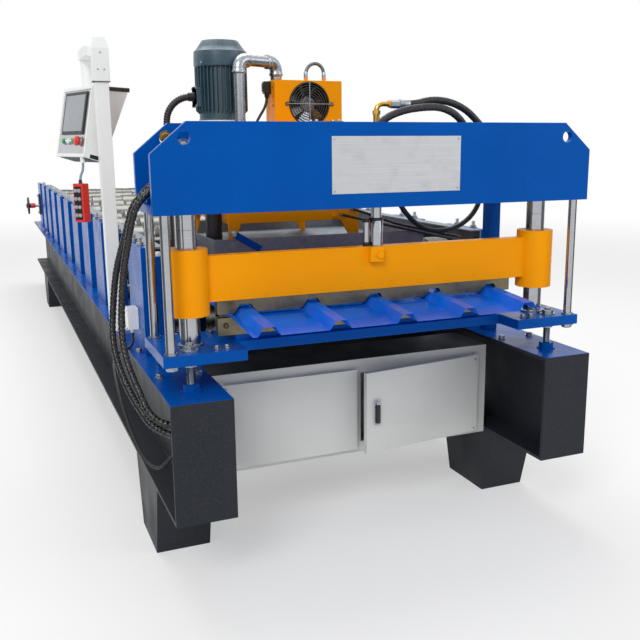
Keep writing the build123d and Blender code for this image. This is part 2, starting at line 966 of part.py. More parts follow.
def entry_guide():
    """The guide screw across the entry with its two strip guides."""
    end = wheel_x - wheel_hub_length / 2 + screw_end_inset
    guide = bar_x(entry_y, wheel_z, end, stand_face, entry_screw_radius)
    height = (wheel_z - guide_below, wheel_z + guide_above)
    for side in (-1, 1):
        guide += block(span(side * guide_x, guide_width), span(entry_y, guide_length), height)
    return guide


def entry_stand(side):
    """The last upright plate on the beam, which holds one end of the guide screw."""
    across = sorted((side * inner_face, side * stand_face))
    upright = block(across, span(entry_y, stand_width), (beam_top, stand_top))
    hole = entry_screw_radius + entry_play
    return upright - bar_x(entry_y, wheel_z, across[0] - 1, across[1] + 1, hole)


def tube(points, diameter, name):
    """A hose or cable along straight runs joined by tangent arcs."""
    route = [Vector(*p) for p in points]
    radii = []
    for before, here, after in zip(route, route[1:], route[2:]):
        turn = (here - before).get_angle(after - here)
        shorter = min((here - before).length, (after - here).length)
        radii.append(0.45 * shorter / math.tan(math.radians(turn / 2)))
    print(name, "radii", [round(r) for r in radii], "least allowed", round(5 * diameter))
    path = FilletPolyline(*points, radius=radii)
    section = Plane(origin=path @ 0, z_dir=path % 0) * RegularPolygon(diameter / 2, hose_sides)
    solid = sweep(section, path)
    ideal = section.area * path.length
    print(name, "length", round(path.length), "volume share", round(solid.volume / ideal, 3))
    return solid


# Routes of the hoses and cables, chosen along the machine
pendant_cable_route = (
    (*turned(gland_x, gland_y), gland_z),
    (*turned(gland_x, gland_y), 1178),
    (pendant_x, pendant_y, 1155),
    (pendant_x, pendant_y, pendant_top),
)
front_hose_route = (
    (-545, 267, 1222), (-545, 220, 1222), (-570, 183, 1206), (-606, 161, 1183),
    (-651, 152, 1168), (-694, 151, 1143), (-727, 158, 1105), (-741, 170, 1049),
    (-747, 190, 1000), (-756, 207, 950), (-763, 215, 896), (-768, 219, 841),
    (-773, 216, 786), (-775, 205, 732), (-770, 185, 681), (-760, 157, 636),
    (-747, 125, 595), (-737, 91, 555), (-708, 59, 526), (-658, 50, 517),
    (-607, 50, 517),
)
rear_hose_route = (
    (-560, 267, 1262), (-560, 225, 1262), (-580, 190, 1243), (-616, 175, 1208),
    (-653, 197, 1181), (-691, 206, 1143), (-726, 215, 1103), (-738, 232, 1045),
    (-749, 259, 999), (-760, 284, 951), (-769, 305, 900), (-775, 317, 846),
    (-781, 321, 790), (-787, 313, 735), (-787, 291, 684), (-780, 260, 639),
    (-771, 220, 602), (-760, 178, 570), (-745, 137, 542), (-731, 94, 516),
    (-698, 60, 498), (-657, 34, 484), (-607, 34, 484),
)
switch_cable_route = (
    (-669.3, 700, 644), (-669.3, 700, 621), (-676.6, 688, 603), (-692, 663, 598),
    (-714, 628, 601), (-735, 585, 608), (-756, 520, 614), (-772, 440, 610),
    (-780, 362, 587), (-779, 284, 536), (-766, 204, 462), (-746, 126, 404),
    (-722, 66, 392), (-702, 37, 422), (-676, 27, 452), (-641, 27, 456), (-607, 27, 456),
)
pressure_hose_route = (
    (75, 185, 1383), (126, 185, 1383), (176, 190, 1396), (227, 192, 1397),
    (277, 193, 1386), (323, 197, 1365), (360, 194, 1332), (385, 179, 1292),
    (388, 188, 1244), (388, 224, 1215), (388, 267, 1215),
)
return_hose_route = (
    (-95, 103, 1112), (-95, 103, 1167), (-89, 103, 1222), (-73, 104, 1274),
    (-40, 105, 1318), (6, 104, 1348), (57, 102, 1364), (110, 101, 1371),
    (162, 101, 1373), (212, 102, 1359), (252, 106, 1328), (278, 116, 1287),
    (291, 136, 1244), (291, 174, 1214), (290, 219, 1200), (290, 267, 1200),
)
loop_hose_route = (
    (520, 347, 1180), (520, 392, 1180), (526, 428, 1150), (533, 435, 1103),
    (529, 440, 1056), (505, 445, 1014), (466, 450, 983), (419, 451, 967),
    (368, 452, 963), (317, 452, 973), (273, 453, 1000), (237, 456, 1038),
    (210, 462, 1083), (188, 475, 1129), (165, 494, 1172), (143, 517, 1215),
    (120, 540, 1256), (88, 553, 1295), (60, 590, 1318), (60, 640, 1318),
)
upper_line_route = (
    (100, 600, 1040), (100, 536, 1040), (155, 501, 1018), (224, 510, 993),
    (299, 501, 975), (376, 502, 958), (450, 517, 941), (519, 539, 927),
    (552, 598, 906), (620, 598, 906),
)
lower_line_route = (
    (60, 600, 1022), (60, 535, 1022), (120, 499, 1007), (194, 493, 988),
    (271, 484, 971), (350, 485, 951), (428, 498, 934), (502, 520, 920),
    (548, 577, 903), (620, 577, 903),
)
motor_conduit_route = (
    (-363, 950, 1435), (-391.5, 950, 1435), (-418.6, 950, 1426.2), (-441.7, 950, 1409.4),
    (-458.5, 950, 1386.4), (-467.3, 950, 1359.3), (-468, 950, 1304), (-466.5, 950, 1210),
    (-463, 948, 1050), (-459, 947, 860), (-456, 946, 650), (-455, 945, 491),
)
cooler_cable_route = (
    (-107.3, 892.5, 1447), (-107.3, 892.5, 1424), (-118, 889, 1396), (-140, 884, 1366),
    (-158, 880, 1336), (-166, 878, 1312), (-166, 878, 1290),
)
cooler_loop_route = (
    (47, 893, 1507), (47, 893, 1529), (57, 893, 1549), (76, 894, 1560),
    (97, 894, 1559), (113, 893, 1546), (119, 893, 1528), (119, 893, 1507),
)

nodes = {
    "left_beam": base_beam(-1),
    "right_beam": base_beam(1),
    "cross_ties": joined(cross_tie(y) for y in tie_y),
    "front_legs": joined(leg(side, front_leg_y) for side in (-1, 1)),
    "rear_legs": joined(leg(side, beam_length - rear_leg_inset) for side in (-1, 1)),
    "left_stands": joined(stand(-1, y) for y in station_y),
    "right_stands": joined(stand(1, y) for y in station_y),
    "adjusting_screws": joined(adjusting_screws(side, y) for side in (-1, 1) for y in station_y),
    "lower_rolls": joined(roll_shaft(y, lower_shaft_z, lower_roll_radius) for y in station_y),
    "upper_rolls": joined(roll_shaft(y, upper_shaft_z, upper_roll_radius) for y in station_y),
    "stand_rails": joined(stand_rail(side) for side in (-1, 1)),
    "drive_sprockets": joined(sprocket(y) for y in station_y),
    "drive_chain": drive_chain(),
    "drive_motor": joined([motor_bracket(), drive_motor()]),
    "formed_sheet": formed_sheet(),
    "base_plates": joined(base_plate(side) for side in (-1, 1)),
    "levelling_screws": joined(levelling_screw(side, level_y) for side in (-1, 1)),
    "tie_rods": joined(tie_rod(side, y) for side in (-1, 1) for y in (rod_front_y, rod_back_y)),
    "guide_pillars": joined(guide_pillar(side) for side in (-1, 1)),
    "crossbeam_front_plate": press_beam_plate(beam_front_y),
    "crossbeam_back_plate": press_beam_plate(beam_back_y),
    "crossbeam_seats": joined(press_seat(side) for side in (-1, 1)),
    "rear_columns": rear_columns(),
    "press_cylinder": press_cylinder(),
    "hose_fittings": joined([cylinder_elbow(), *hose_couplings()]),
    "blade_holder": blade_holder(),
    "piston_rod": joined([piston_rod(), buffer_tube()]),
    "upper_blade": upper_blade(),
    "lower_blade": lower_blade(),
    "blade_support": blade_support(),
    "cabinet_body": cabinet_body(),
    "left_door": door(-1),
    "right_door": door(1),
    "tray_bars": joined(tray_bar(y) for y in tray_bar_places),
    "oil_tray": oil_tray(),
    "oil_tank": oil_tank(),
    "valve_block": valve_block(),
    "pump_motor": pump_motor(),
    "return_pipe": return_pipe(),
    "oil_cooler": oil_cooler(),
    "cooler_guard": cooler_guard(),
    "cooler_plug": cooler_plug(),
    "filter_canister": filter_canister(),
    "control_post": control_post(),
    "control_box": control_box(),
    "control_screen": control_screen(),
    "control_buttons": joined([*control_buttons(), stop_button()]),
    "pendant": pendant(),
    "limit_switch": limit_switch(),
    "handwheel": handwheel(),
    "entry_guide": entry_guide(),
    "entry_brackets": joined(entry_stand(side) for side in (-1, 1)),
}
cords = {
    "pendant_cable": tube(pendant_cable_route, cable_diameter, "pendant_cable"),
    "left_hoses": joined([
        tube(front_hose_route, left_hose_diameter, "front hose"),
        tube(rear_hose_route, left_hose_diameter, "rear hose"),
    ]),
    "switch_cable": tube(switch_cable_route, cable_diameter, "switch_cable"),
    "press_hoses": joined([
        tube(pressure_hose_route, press_hose_diameter, "pressure hose"),
        tube(return_hose_route, press_hose_diameter, "return hose"),
        tube(loop_hose_route, loop_hose_diameter, "loop hose"),
    ]),
    "oil_lines": joined([
        tube(upper_line_route, line_diameter, "upper line"),
        tube(lower_line_route, line_diameter, "lower line"),
    ]),
    "motor_conduit": tube(motor_conduit_route, conduit_diameter, "motor_conduit"),
    "cooler_lines": joined([
        tube(cooler_cable_route, line_diameter, "cooler cable"),
        tube(cooler_loop_route, cooler_loop_diameter, "cooler loop"),
    ]),
}

# The origin is the middle of the machine's outline, on the floor.
outline = Compound(children=[Pos(0, 0, 0) * node for node in nodes.values()]).bounding_box()
to_origin = Pos(-outline.center().X, -outline.center().Y, -outline.min.Z)
print("origin in the frame of the drawing", outline.center().X, outline.center().Y, outline.min.Z)

os.makedirs("parts", exist_ok=True)
for name, solid in {**nodes, **cords}.items():
    export_step(to_origin * solid, f"parts/{name}.step")
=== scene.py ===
"""Finishes, fasteners, hoses and stage of a roll forming machine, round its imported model."""
import math

import bmesh
import bpy
from bpy.props import FloatProperty, FloatVectorProperty, IntProperty, PointerProperty
from mathutils import Matrix, Vector


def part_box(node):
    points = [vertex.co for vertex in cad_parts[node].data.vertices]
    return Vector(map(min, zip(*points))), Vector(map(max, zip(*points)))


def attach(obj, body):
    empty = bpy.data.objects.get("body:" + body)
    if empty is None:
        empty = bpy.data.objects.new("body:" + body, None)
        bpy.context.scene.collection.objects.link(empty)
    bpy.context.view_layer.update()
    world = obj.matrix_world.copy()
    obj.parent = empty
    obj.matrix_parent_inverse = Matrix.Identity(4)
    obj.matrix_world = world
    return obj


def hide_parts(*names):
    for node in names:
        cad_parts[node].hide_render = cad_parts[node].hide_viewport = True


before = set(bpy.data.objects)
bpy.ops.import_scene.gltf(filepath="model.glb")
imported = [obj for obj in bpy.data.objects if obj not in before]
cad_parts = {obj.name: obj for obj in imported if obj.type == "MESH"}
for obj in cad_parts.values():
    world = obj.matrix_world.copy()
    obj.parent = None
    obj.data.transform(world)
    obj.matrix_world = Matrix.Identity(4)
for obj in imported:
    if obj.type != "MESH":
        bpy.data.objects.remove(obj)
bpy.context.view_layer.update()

bl_info = {
    "name": "Roll forming machine",
    "version": (1, 0, 0),
    "blender": (4, 5, 0),
    "location": "3D View > Sidebar > Machine",
    "description": "Adds the finishes, fasteners, hoses and stage of a roll forming machine",
    "category": "Object",
}

# Pieces are drawn in millimetres: x from the machine's middle, y back from the
# front of the base beams, z up from the floor. This matrix takes them to the row frame.
middle_x = (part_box("left_beam")[0][0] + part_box("right_beam")[1][0]) / 2
front_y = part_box("left_beam")[0][1]
TO_ROW = Matrix.Translation((middle_x, front_y, 0)) @ Matrix.Scale(0.001, 4)
FROM_ROW = TO_ROW.inverted()


def hex_colour(text):
    """An sRGB hex value, such as #1F6FB2, as linear red, green, blue and alpha."""
    parts = [int(text[i:i + 2], 16) / 255 for i in (1, 3, 5)]
    linear = [p / 12.92 if p <= 0.04045 else ((p + 0.055) / 1.055) ** 2.4 for p in parts]
    return (*linear, 1.0)


def colour_setting(name, text, description):
    return FloatVectorProperty(
        name=name, description=description, subtype="COLOR", size=4, min=0, max=1, default=hex_colour(text)
    )


def length_setting(name, millimetres, description):
    return FloatProperty(
        name=name, description=description, subtype="DISTANCE", unit="LENGTH", min=0,
        default=millimetres / 1000,
    )


class MachineColours(bpy.types.PropertyGroup):
    """Colours of the painted and moulded pieces."""

    frame_blue: colour_setting("Frame blue", "#004FA6", "Gloss enamel of stands, crossbeam and plates")
    ram_yellow: colour_setting("Ram yellow", "#FFA000", "Gloss enamel of the blade holder and oil unit")
    beam_grey: colour_setting("Beam grey", "#22262D", "Satin enamel of the base beams and legs")
    cabinet_grey: colour_setting("Cabinet grey", "#D6D7D4", "Textured powder coat of the cabinet")
    post_white: colour_setting("Post white", "#F2F5F4", "Smooth powder coat of the post and box")
    motor_green: colour_setting("Motor green", "#36525F", "Enamel of the pump motor")
    sheet_blue: colour_setting("Sheet blue", "#0668E0", "Coil coating of the formed sheet")
    button_red: colour_setting("Button red", "#E4342E", "Stop button and pendant")


class MachineSizes(bpy.types.PropertyGroup):
    """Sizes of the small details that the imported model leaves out."""

    edge: length_setting("Edge", 1.5, "Rounding of cut plate edges")
    fold: length_setting("Fold", 2.5, "Rounding of folded sheet edges")
    bolt: length_setting("Bolt", 9.0, "Radius of the frame bolts' hexagon heads")
    weld: length_setting("Weld", 3.5, "Radius of the weld beads on the blade holder")
    wrap: length_setting("Wrap", 13.0, "Pitch of the spiral wrap on the left hoses")
    fins: IntProperty(name="Fins", description="Cooling fins round the pump motor", min=8, max=60, default=36)


def millimetres(name):
    """One of the detail sizes, in millimetres."""
    return getattr(bpy.context.scene.machine_sizes, name) * 1000


def colour(text):
    """A hex colour, or one of the machine's colour settings by its name."""
    if text.startswith("#"):
        return hex_colour(text)
    return tuple(getattr(bpy.context.scene.machine_colours, text))


def shade(rgba, factor):
    """A colour made lighter or darker by one factor."""
    return (*(min(1.0, c * factor) for c in rgba[:3]), 1.0)


def add_node(tree, kind, inputs=None, **settings):
    """Adds a node, sets its properties, and gives each input a value or another node's output."""
    made = tree.nodes.new(kind)
    for key, value in settings.items():
        setattr(made, key, value)
    for key, value in (inputs or {}).items():
        if isinstance(value, bpy.types.NodeSocket):
            tree.links.new(value, made.inputs[key])
        else:
            made.inputs[key].default_value = value
    return made


def new_material(name):
    material = bpy.data.materials.new(name)
    material.use_nodes = True
    material.node_tree.nodes.clear()
    return material, material.node_tree


def noise_value(tree, place, size_mm, detail=2.0, low=0.0, high=1.0, start=0.3, stop=0.7):
    """Noise with features of a real size, brought to a range."""
    cloud = add_node(tree, "ShaderNodeTexNoise", {"Vector": place, "Scale": 1000 / size_mm, "Detail": detail})
    ranged = add_node(
        tree, "ShaderNodeMapRange",
        {"Value": cloud.outputs[0], "From Min": start, "From Max": stop, "To Min": low, "To Max": high},
    )
    return ranged.outputs[0]


def mixed(tree, factor, first, second):
    """One colour blended into another by a factor."""
    made = add_node(tree, "ShaderNodeMix", {0: factor, 6: first, 7: second}, data_type="RGBA")
    return made.outputs[2]


FINISH = {}
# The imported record's material slot for each finish of a new piece
SLOT = {}


def finished_material(name, slot, parts, colour_out, rough_out, height_out, depth_mm, **shader):
    """Closes a material with bump from a height and its shader, and lists it for the pieces."""
    material, tree = parts
    bump = add_node(tree, "ShaderNodeBump", {"Height": height_out, "Distance": depth_mm / 1000})
    bump.inputs["Strength"].default_value = 1.0
    inputs = {"Base Color": colour_out, "Roughness": rough_out, "Normal": bump.outputs[0], **shader}
    surface = add_node(tree, "ShaderNodeBsdfPrincipled", inputs)
    add_node(tree, "ShaderNodeOutputMaterial", {"Surface": surface.outputs[0]})
    FINISH[name], SLOT[name] = material, slot


def coating(name, slot, base, rough, cloud_mm, grain_mm, grain_depth, vary=0.07, dust=0.06, dust_mm=3.0,
            specular=0.5, tint=(1, 1, 1, 1), coat=0.0):
    """Paint, powder coat or moulded plastic: soft clouds of tone, faint dust and a surface grain."""
    parts = new_material(name)
    tree, base = parts[1], colour(base)
    place = add_node(tree, "ShaderNodeTexCoord").outputs["Object"]
    cloud = noise_value(tree, place, cloud_mm, 3.0)
    tone = mixed(tree, cloud, shade(base, 1 - vary), shade(base, 1 + vary))
    specks = noise_value(tree, place, dust_mm, 2.0, 0.0, dust, 0.56, 0.72)
    tone = mixed(tree, specks, tone, hex_colour("#C9C6BE"))
    gloss = noise_value(tree, place, cloud_mm * 0.4, 3.0, rough * 0.8, rough * 1.25)
    grain = noise_value(tree, place, grain_mm, 1.0)
    sheen = {"Specular IOR Level": specular, "Specular Tint": tint, "Coat Weight": coat}
    finished_material(name, slot, parts, tone, gloss, grain, grain_depth, **sheen)


def worked_metal(name, slot, base, rough, line_mm, stretch, depth, vary=0.12, stain="#6E6A60", stained=0.15,
                 metal=1.0):
    """Ground, turned or plated metal: fine lines along the tool's path and faint stains of oil."""
    parts = new_material(name)
    tree, base = parts[1], colour(base)
    place = add_node(tree, "ShaderNodeTexCoord").outputs["Object"]
    drawn = add_node(tree, "ShaderNodeMapping", {"Vector": place, "Scale": stretch}).outputs[0]
    lines = noise_value(tree, drawn, line_mm, 3.0)
    tone = mixed(tree, lines, shade(base, 1 - vary), shade(base, 1 + vary))
    marks = noise_value(tree, place, 45.0, 4.0, 0.0, stained, 0.5, 0.75)
    tone = mixed(tree, marks, tone, hex_colour(stain))
    gloss = noise_value(tree, drawn, line_mm * 2, 3.0, rough * 0.75, rough * 1.3)
    finished_material(name, slot, parts, tone, gloss, lines, depth, Metallic=metal)


def woven_braid(name, slot):
    """Crossed strands drawn on the hose's own UV map, in metres along and round it."""
    parts = new_material(name)
    tree = parts[1]
    along = add_node(tree, "ShaderNodeUVMap", uv_map="run").outputs[0]
    waves = []
    for angle in (0.9, -0.9):
        turned = add_node(tree, "ShaderNodeMapping", {"Vector": along, "Rotation": (0.0, 0.0, angle)})
        wave = add_node(tree, "ShaderNodeTexWave", {"Vector": turned.outputs[0], "Scale": 55.0})
        waves.append(wave.outputs[1])
    weave = add_node(tree, "ShaderNodeMath", {0: waves[0], 1: waves[1]}, operation="MULTIPLY").outputs[0]
    tone = mixed(tree, weave, hex_colour("#3C3E41"), hex_colour("#C3C6C9"))
    rough = add_node(tree, "ShaderNodeMapRange", {"Value": weave, "To Min": 0.5, "To Max": 0.28}).outputs[0]
    finished_material(name, slot, parts, tone, rough, weave, 0.4, Metallic=1.0)


def make_finishes():
    """Every material of the machine, by the name that the pieces use."""
    # Alkyd enamel sprayed on steel plate: high gloss, a faint orange peel 2 mm across
    coating("blue enamel", "blue_enamel", "frame_blue", 0.26, 260, 2.2, 0.03, 0.07, 0.01,
            specular=0.16, tint=(0.3, 0.6, 1.0, 1.0))
    coating("yellow enamel", "yellow_enamel", "ram_yellow", 0.3, 300, 2.2, 0.03, 0.05, 0.006, specular=0.1)
    # The same enamel in satin on rolled beams: mill grain of 4 mm and dust on it
    coating("charcoal enamel", "dark_enamel", "beam_grey", 0.48, 400, 4.0, 0.08, 0.14, 0.04, specular=0.22)
    # Thick brushed enamel over rough castings: 1.6 mm sand grain
    coating("motor enamel", "motor_enamel", "motor_green", 0.3, 60, 1.6, 0.12, 0.14, 0.07)
    # Epoxy powder coat with a fine texture: matt, 1 mm grain drawn at 1.4 mm so that it shows
    coating("cabinet powder coat", "grey_powder_coat", "cabinet_grey", 0.5, 350, 1.4, 0.05, 0.03, 0.03)
    # The same coat in dark grey for seams and the box's hatch; on the cabinet's top face it is painted shade,
    # for the shade that the sheet and blade support cast there
    coating("dark powder coat", "dark_enamel", "#24272B", 0.46, 350, 1.4, 0.05, 0.12, 0.08)
    coating("post powder coat", "pale_powder_coat", "post_white", 0.4, 300, 1.8, 0.03, 0.03, 0.02)
    # Polyester coil coating on thin sheet: mirror gloss over slight oil canning waves
    coating("coil coating", "coated_sheet", "sheet_blue", 0.22, 90, 60, 0.5, 0.12, 0.01, 8.0,
            specular=0.2, tint=(0.3, 0.55, 1.0, 1.0))
    # Moulded ABS and nylon: fine spark-eroded grain under 1 mm
    coating("black nylon", "black_plastic", "#141518", 0.44, 40, 0.9, 0.03, 0.2, 0.06)
    coating("red plastic", "red_plastic", "button_red", 0.33, 50, 0.9, 0.02, 0.06, 0.02)
    coating("grey plastic", "grey_powder_coat", "#A9ADB2", 0.4, 30, 0.9, 0.02, 0.06, 0.02)
    coating("green plastic", "red_plastic", "#1E9A4A", 0.3, 30, 0.9, 0.02, 0.08, 0.02)
    coating("white plastic", "pale_powder_coat", "#EDEEEC", 0.32, 30, 0.9, 0.02, 0.03, 0.02)
    # Polyethylene spiral guard wound round hoses: smoother than rubber
    coating("spiral guard", "black_rubber", "#151618", 0.27, 30, 1.2, 0.03, 0.2, 0.08)
    # Nitrile hose cover: matt with talc in its grain
    coating("black rubber", "black_rubber", "#18191B", 0.5, 30, 1.2, 0.06, 0.25, 0.1)
    coating("grey cable", "black_rubber", "#8FA0B8", 0.42, 30, 1.2, 0.03, 0.1, 0.05)
    # Clear glass over a sleeping display
    coating("screen glass", "screen_glass", "#626E7A", 0.09, 120, 40, 0.01, 0.2, 0.03, coat=1.0)
    # Hard chrome, ground: rings 1 mm apart round the bar, drawn at 3 mm
    worked_metal("hard chrome", "chrome_plate", "#B0B2B6", 0.14, 3.0, (0.05, 0.05, 1), 0.003, 0.04, "#4A4846")
    # Turned and plated roll steel: tool rings across the roll's length
    worked_metal("roll steel", "roll_steel", "#72726F", 0.26, 2, (1, 0.05, 0.05), 0.01, 0.1, "#3A342C", 0.35)
    # Bright zinc on fasteners: slight blue, fine matt grain
    even = (1, 1, 1)
    worked_metal("zinc plate", "zinc_plate", "#A3A8AE", 0.3, 2.5, even, 0.02)
    # Hot dip galvanising: spangle clouds of about 18 mm
    worked_metal("galvanised steel", "galvanised_sheet", "#7E8690", 0.5, 18, even, 0.02, 0.16, "#4C5157",
                 stained=0.25, metal=0.7)
    # Ground tool steel with a film of oil: lines along the blade
    worked_metal("tool steel", "tool_steel", "#7B735F", 0.36, 1.5, (0.04, 1, 1), 0.02, 0.12, "#453C28", 0.6)
    worked_metal("brass", "brass_fittings", "#C9A04E", 0.24, 1.5, (1.0, 1.0, 0.2), 0.02)
    # Brushed aluminium plate: hair lines along its length
    worked_metal("brushed aluminium", "zinc_plate", "#C3C5C8", 0.3, 1.2, (0.006, 1.0, 1.0), 0.01, 0.06,
                 "#A3A5A8", 0.35)
    worked_metal("oiled chain", "chain_steel", "#5C5850", 0.32, 4.0, even, 0.03, 0.2, "#241F18", 0.5)
    # Woven stainless braid: strands cross every 3 mm along the hose's own length
    woven_braid("steel braid", "braided_steel")


UP, DOWN = (0, 0, 1), (0, 0, -1)
LEFT, RIGHT = (-1, 0, 0), (1, 0, 0)
FRONT, BACK = (0, -1, 0), (0, 1, 0)


def both(reach, middle=0):
    """The two coordinates at one reach from a middle."""
    return middle - reach, middle + reach


def spaced(middles, offsets):
    """Every middle with every offset, along one axis."""
    return [middle + offset for middle in middles for offset in offsets]


def grid(xs, ys, zs):
    """The places where three rows of coordinates cross."""
    return [Vector((x, y, z)) for x in xs for y in ys for z in zs]


def turns(count, start=0.0):
    """Angles spread evenly round a circle."""
    return [math.tau * (i + start) / count for i in range(count)]


def outward(angle):
    return Vector((math.cos(angle), math.sin(angle), 0))


def each(add, places, *values):
    """One form at every place."""
    return [(add, place, *values) for place in places]


def solid(*points):
    """A turned profile whose two ends are closed to the axis."""
    return ((points[0][0], 0), *points, (points[-1][0], 0))


def move(bm, verts, matrix):
    bmesh.ops.transform(bm, matrix=matrix, verts=verts)


def aim(start, end):
    """The matrix that stands a piece's own Z axis along start to end, at their middle."""
    start, end = Vector(start), Vector(end)
    turn = (end - start).to_track_quat("Z", "Y").to_matrix().to_4x4()
    return Matrix.Translation((start + end) / 2) @ turn


def connected(verts):
    """All vertices of the shape that some of its vertices belong to."""
    waiting = [v for v in verts if v.is_valid]
    found = set(waiting)
    while waiting:
        vert = waiting.pop()
        for edge in vert.link_edges:
            other = edge.other_vert(vert)
            if other not in found:
                found.add(other)
                waiting.append(other)
    return list(found)


def paint(verts, slot):
    """Gives the faces of a shape's vertices one of the piece's materials."""
    if slot:
        for face in {f for v in verts for f in v.link_faces}:
            face.material_index = slot


def add_block(bm, x, y, z, slot=0):
    size = Matrix.Diagonal([b - a for a, b in (x, y, z)] + [1])
    middle = Matrix.Translation([(a + b) / 2 for a, b in (x, y, z)])
    verts = bmesh.ops.create_cube(bm, size=1, matrix=middle @ size)["verts"]
    paint(verts, slot)
    return verts


def add_bar(bm, start, end, radius, sides=24, slot=0, end_radius=None):
    """A round or many-sided bar from start to end."""
    length = (Vector(end) - Vector(start)).length
    made = bmesh.ops.create_cone(
        bm, cap_ends=True, cap_tris=False, segments=sides, radius1=radius,
        radius2=radius if end_radius is None else end_radius, depth=length, matrix=aim(start, end),
    )
    paint(made["verts"], slot)
    return made["verts"]


def add_turned(bm, start, direction, profile, sides=32, slot=0):
    """A turned form: (distance along, radius) pairs spun round the axis from start."""
    axis = Vector(direction).normalized()
    turn = axis.to_track_quat("Z", "Y").to_matrix()
    out = turn @ Vector((1, 0, 0))
    origin = Vector(start)
    line = [bm.verts.new(origin + axis * along + out * radius) for along, radius in profile]
    edges = [bm.edges.new(pair) for pair in zip(line, line[1:])]
    bmesh.ops.spin(bm, geom=line + edges, cent=origin, axis=axis, angle=math.tau, steps=sides, use_merge=True)
    paint(connected(line), slot)


def add_ring(bm, centre, direction, radius, wire, sides):
    """A ring of round wire."""
    around = [math.tau * i / 6 for i in range(7)]
    profile = [(wire * math.sin(angle), radius + wire * math.cos(angle)) for angle in around]
    add_turned(bm, centre, direction, profile, sides)


def add_nut(bm, seat, direction, radius, height, slot=0):
    """A hexagon head or nut on its washer, with chamfered corners."""
    seat, up = Vector(seat), Vector(direction).normalized()
    washer = 0.18 * height
    add_bar(bm, seat, seat + up * washer, radius * 1.35, 20, slot)
    add_bar(bm, seat + up * washer, seat + up * height * 0.86, radius, 6, slot)
    add_bar(bm, seat + up * height * 0.86, seat + up * height, radius * 0.93, 6, slot, radius * 0.8)


def add_screw(bm, seat, direction, radius, height):
    """A cap screw with a domed head and a hexagon socket."""
    profile = ((0, radius), (height * 0.75, radius), (height, radius * 0.82), (height, radius * 0.5))
    profile += ((height * 0.4, radius * 0.46), (height * 0.4, 0))
    add_turned(bm, seat, direction, profile, 12)


def add_thread(bm, start, direction, length, radius, pitch):
    """A threaded stud, as a row of ridges a pitch apart."""
    ridges = max(2, int(length / pitch))
    profile = [(0, radius * 0.86)]
    for i in range(ridges):
        profile += [((i + 0.5) * length / ridges, radius), ((i + 1) * length / ridges, radius * 0.86)]
    add_turned(bm, start, direction, solid(*profile), 12)


def make_object(name, bm, finishes, body, edge, corner):
    """Makes an object of a drawing in millimetres, with its finishes, and sets it on its body."""
    bm.transform(TO_ROW)
    mesh = bpy.data.meshes.new(name)
    bm.to_mesh(mesh)
    bm.free()
    piece = bpy.data.objects.new(name, mesh)
    bpy.context.scene.collection.objects.link(piece)
    for finish in finishes.split(", "):
        mesh.materials.append(FINISH[finish])
    mesh.shade_smooth()
    mesh.set_sharp_from_angle(angle=math.radians(corner))
    if edge:
        rounding = piece.modifiers.new("rounded edges", "BEVEL")
        rounding.width = edge / 1000
        rounding.segments = 2
        rounding.limit_method = "ANGLE"
        rounding.angle_limit = math.radians(40)
        rounding.use_clamp_overlap = True
        rounding.harden_normals = True
    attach(piece, body)
    return piece


def keep_piece(name, finishes, *forms, body="base", edge=0.0, corner=35.0, node=None, place=None, bm=None):
    """Draws a piece of forms, each a function that adds it with its values, moved to its place at the end."""
    bm = bm or bmesh.new()
    for add, *values in forms:
        add(bm, *values)
    if place is not None:
        bm.transform(place)
    bmesh.ops.remove_doubles(bm, verts=bm.verts, dist=1e-4)
    bmesh.ops.recalc_face_normals(bm, faces=bm.faces)
    piece = make_object(name, bm, finishes, body, edge, corner)
    if node:
        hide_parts(node)
    return piece


def packed_copy(node):
    """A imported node's mesh in millimetres, with the triangles of its flat faces merged."""
    bm = bmesh.new()
    bm.from_mesh(bpy.data.objects[node].data)
    for face in bm.faces:
        face.material_index = 0
    bm.transform(FROM_ROW)
    bmesh.ops.remove_doubles(bm, verts=bm.verts, dist=0.01)
    bmesh.ops.dissolve_limit(bm, angle_limit=math.radians(0.6), verts=bm.verts, edges=bm.edges)
    return bm


def dressed(nodes, finishes, body="base", edge=1.5, choose=None):
    """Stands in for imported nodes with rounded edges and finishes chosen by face."""
    for node in nodes.split(", "):
        bm = packed_copy(node)
        if choose:
            for face in bm.faces:
                face.material_index = choose(face.calc_center_median(), face.normal)
        piece = make_object(f"{node}_finished", bm, finishes, body, edge, 35.0)
        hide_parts(node)


def route_curve(route, name):
    """A hose's smooth line, with its route as control points."""
    curve = bpy.data.curves.new(name, "CURVE")
    curve.dimensions = "3D"
    spline = curve.splines.new("NURBS")
    spline.points.add(len(route) - 1)
    for point, place in zip(spline.points, route):
        point.co = (*(TO_ROW @ Vector(place)), 1.0)
    spline.order_u = 3
    spline.use_endpoint_u = True
    return curve


def spline_points(route, name):
    """Points along a route's smooth line, in millimetres."""
    curve = route_curve(route, name)
    line = bpy.data.objects.new(name, curve)
    curve.resolution_u = 12
    bpy.context.scene.collection.objects.link(line)
    bpy.context.view_layer.update()
    mesh = bpy.data.meshes.new_from_object(line)
    points = [FROM_ROW @ v.co for v in mesh.vertices]
    bpy.data.objects.remove(line)
    bpy.data.curves.remove(curve)
    bpy.data.meshes.remove(mesh)
    return points


def line_length(points):
    return sum((b - a).length for a, b in zip(points, points[1:]))


def even_points(points, step):
    """The same line with points an even step apart."""
    total = line_length(points)
    count = max(4, round(total / step))
    made, i, done = [points[0].copy()], 0, 0.0
    for k in range(1, count):
        goal = total * k / count
        while done + (points[i + 1] - points[i]).length < goal:
            done += (points[i + 1] - points[i]).length
            i += 1
        run = points[i + 1] - points[i]
        made.append(points[i] + run * ((goal - done) / run.length))
    made.append(points[-1].copy())
    return made


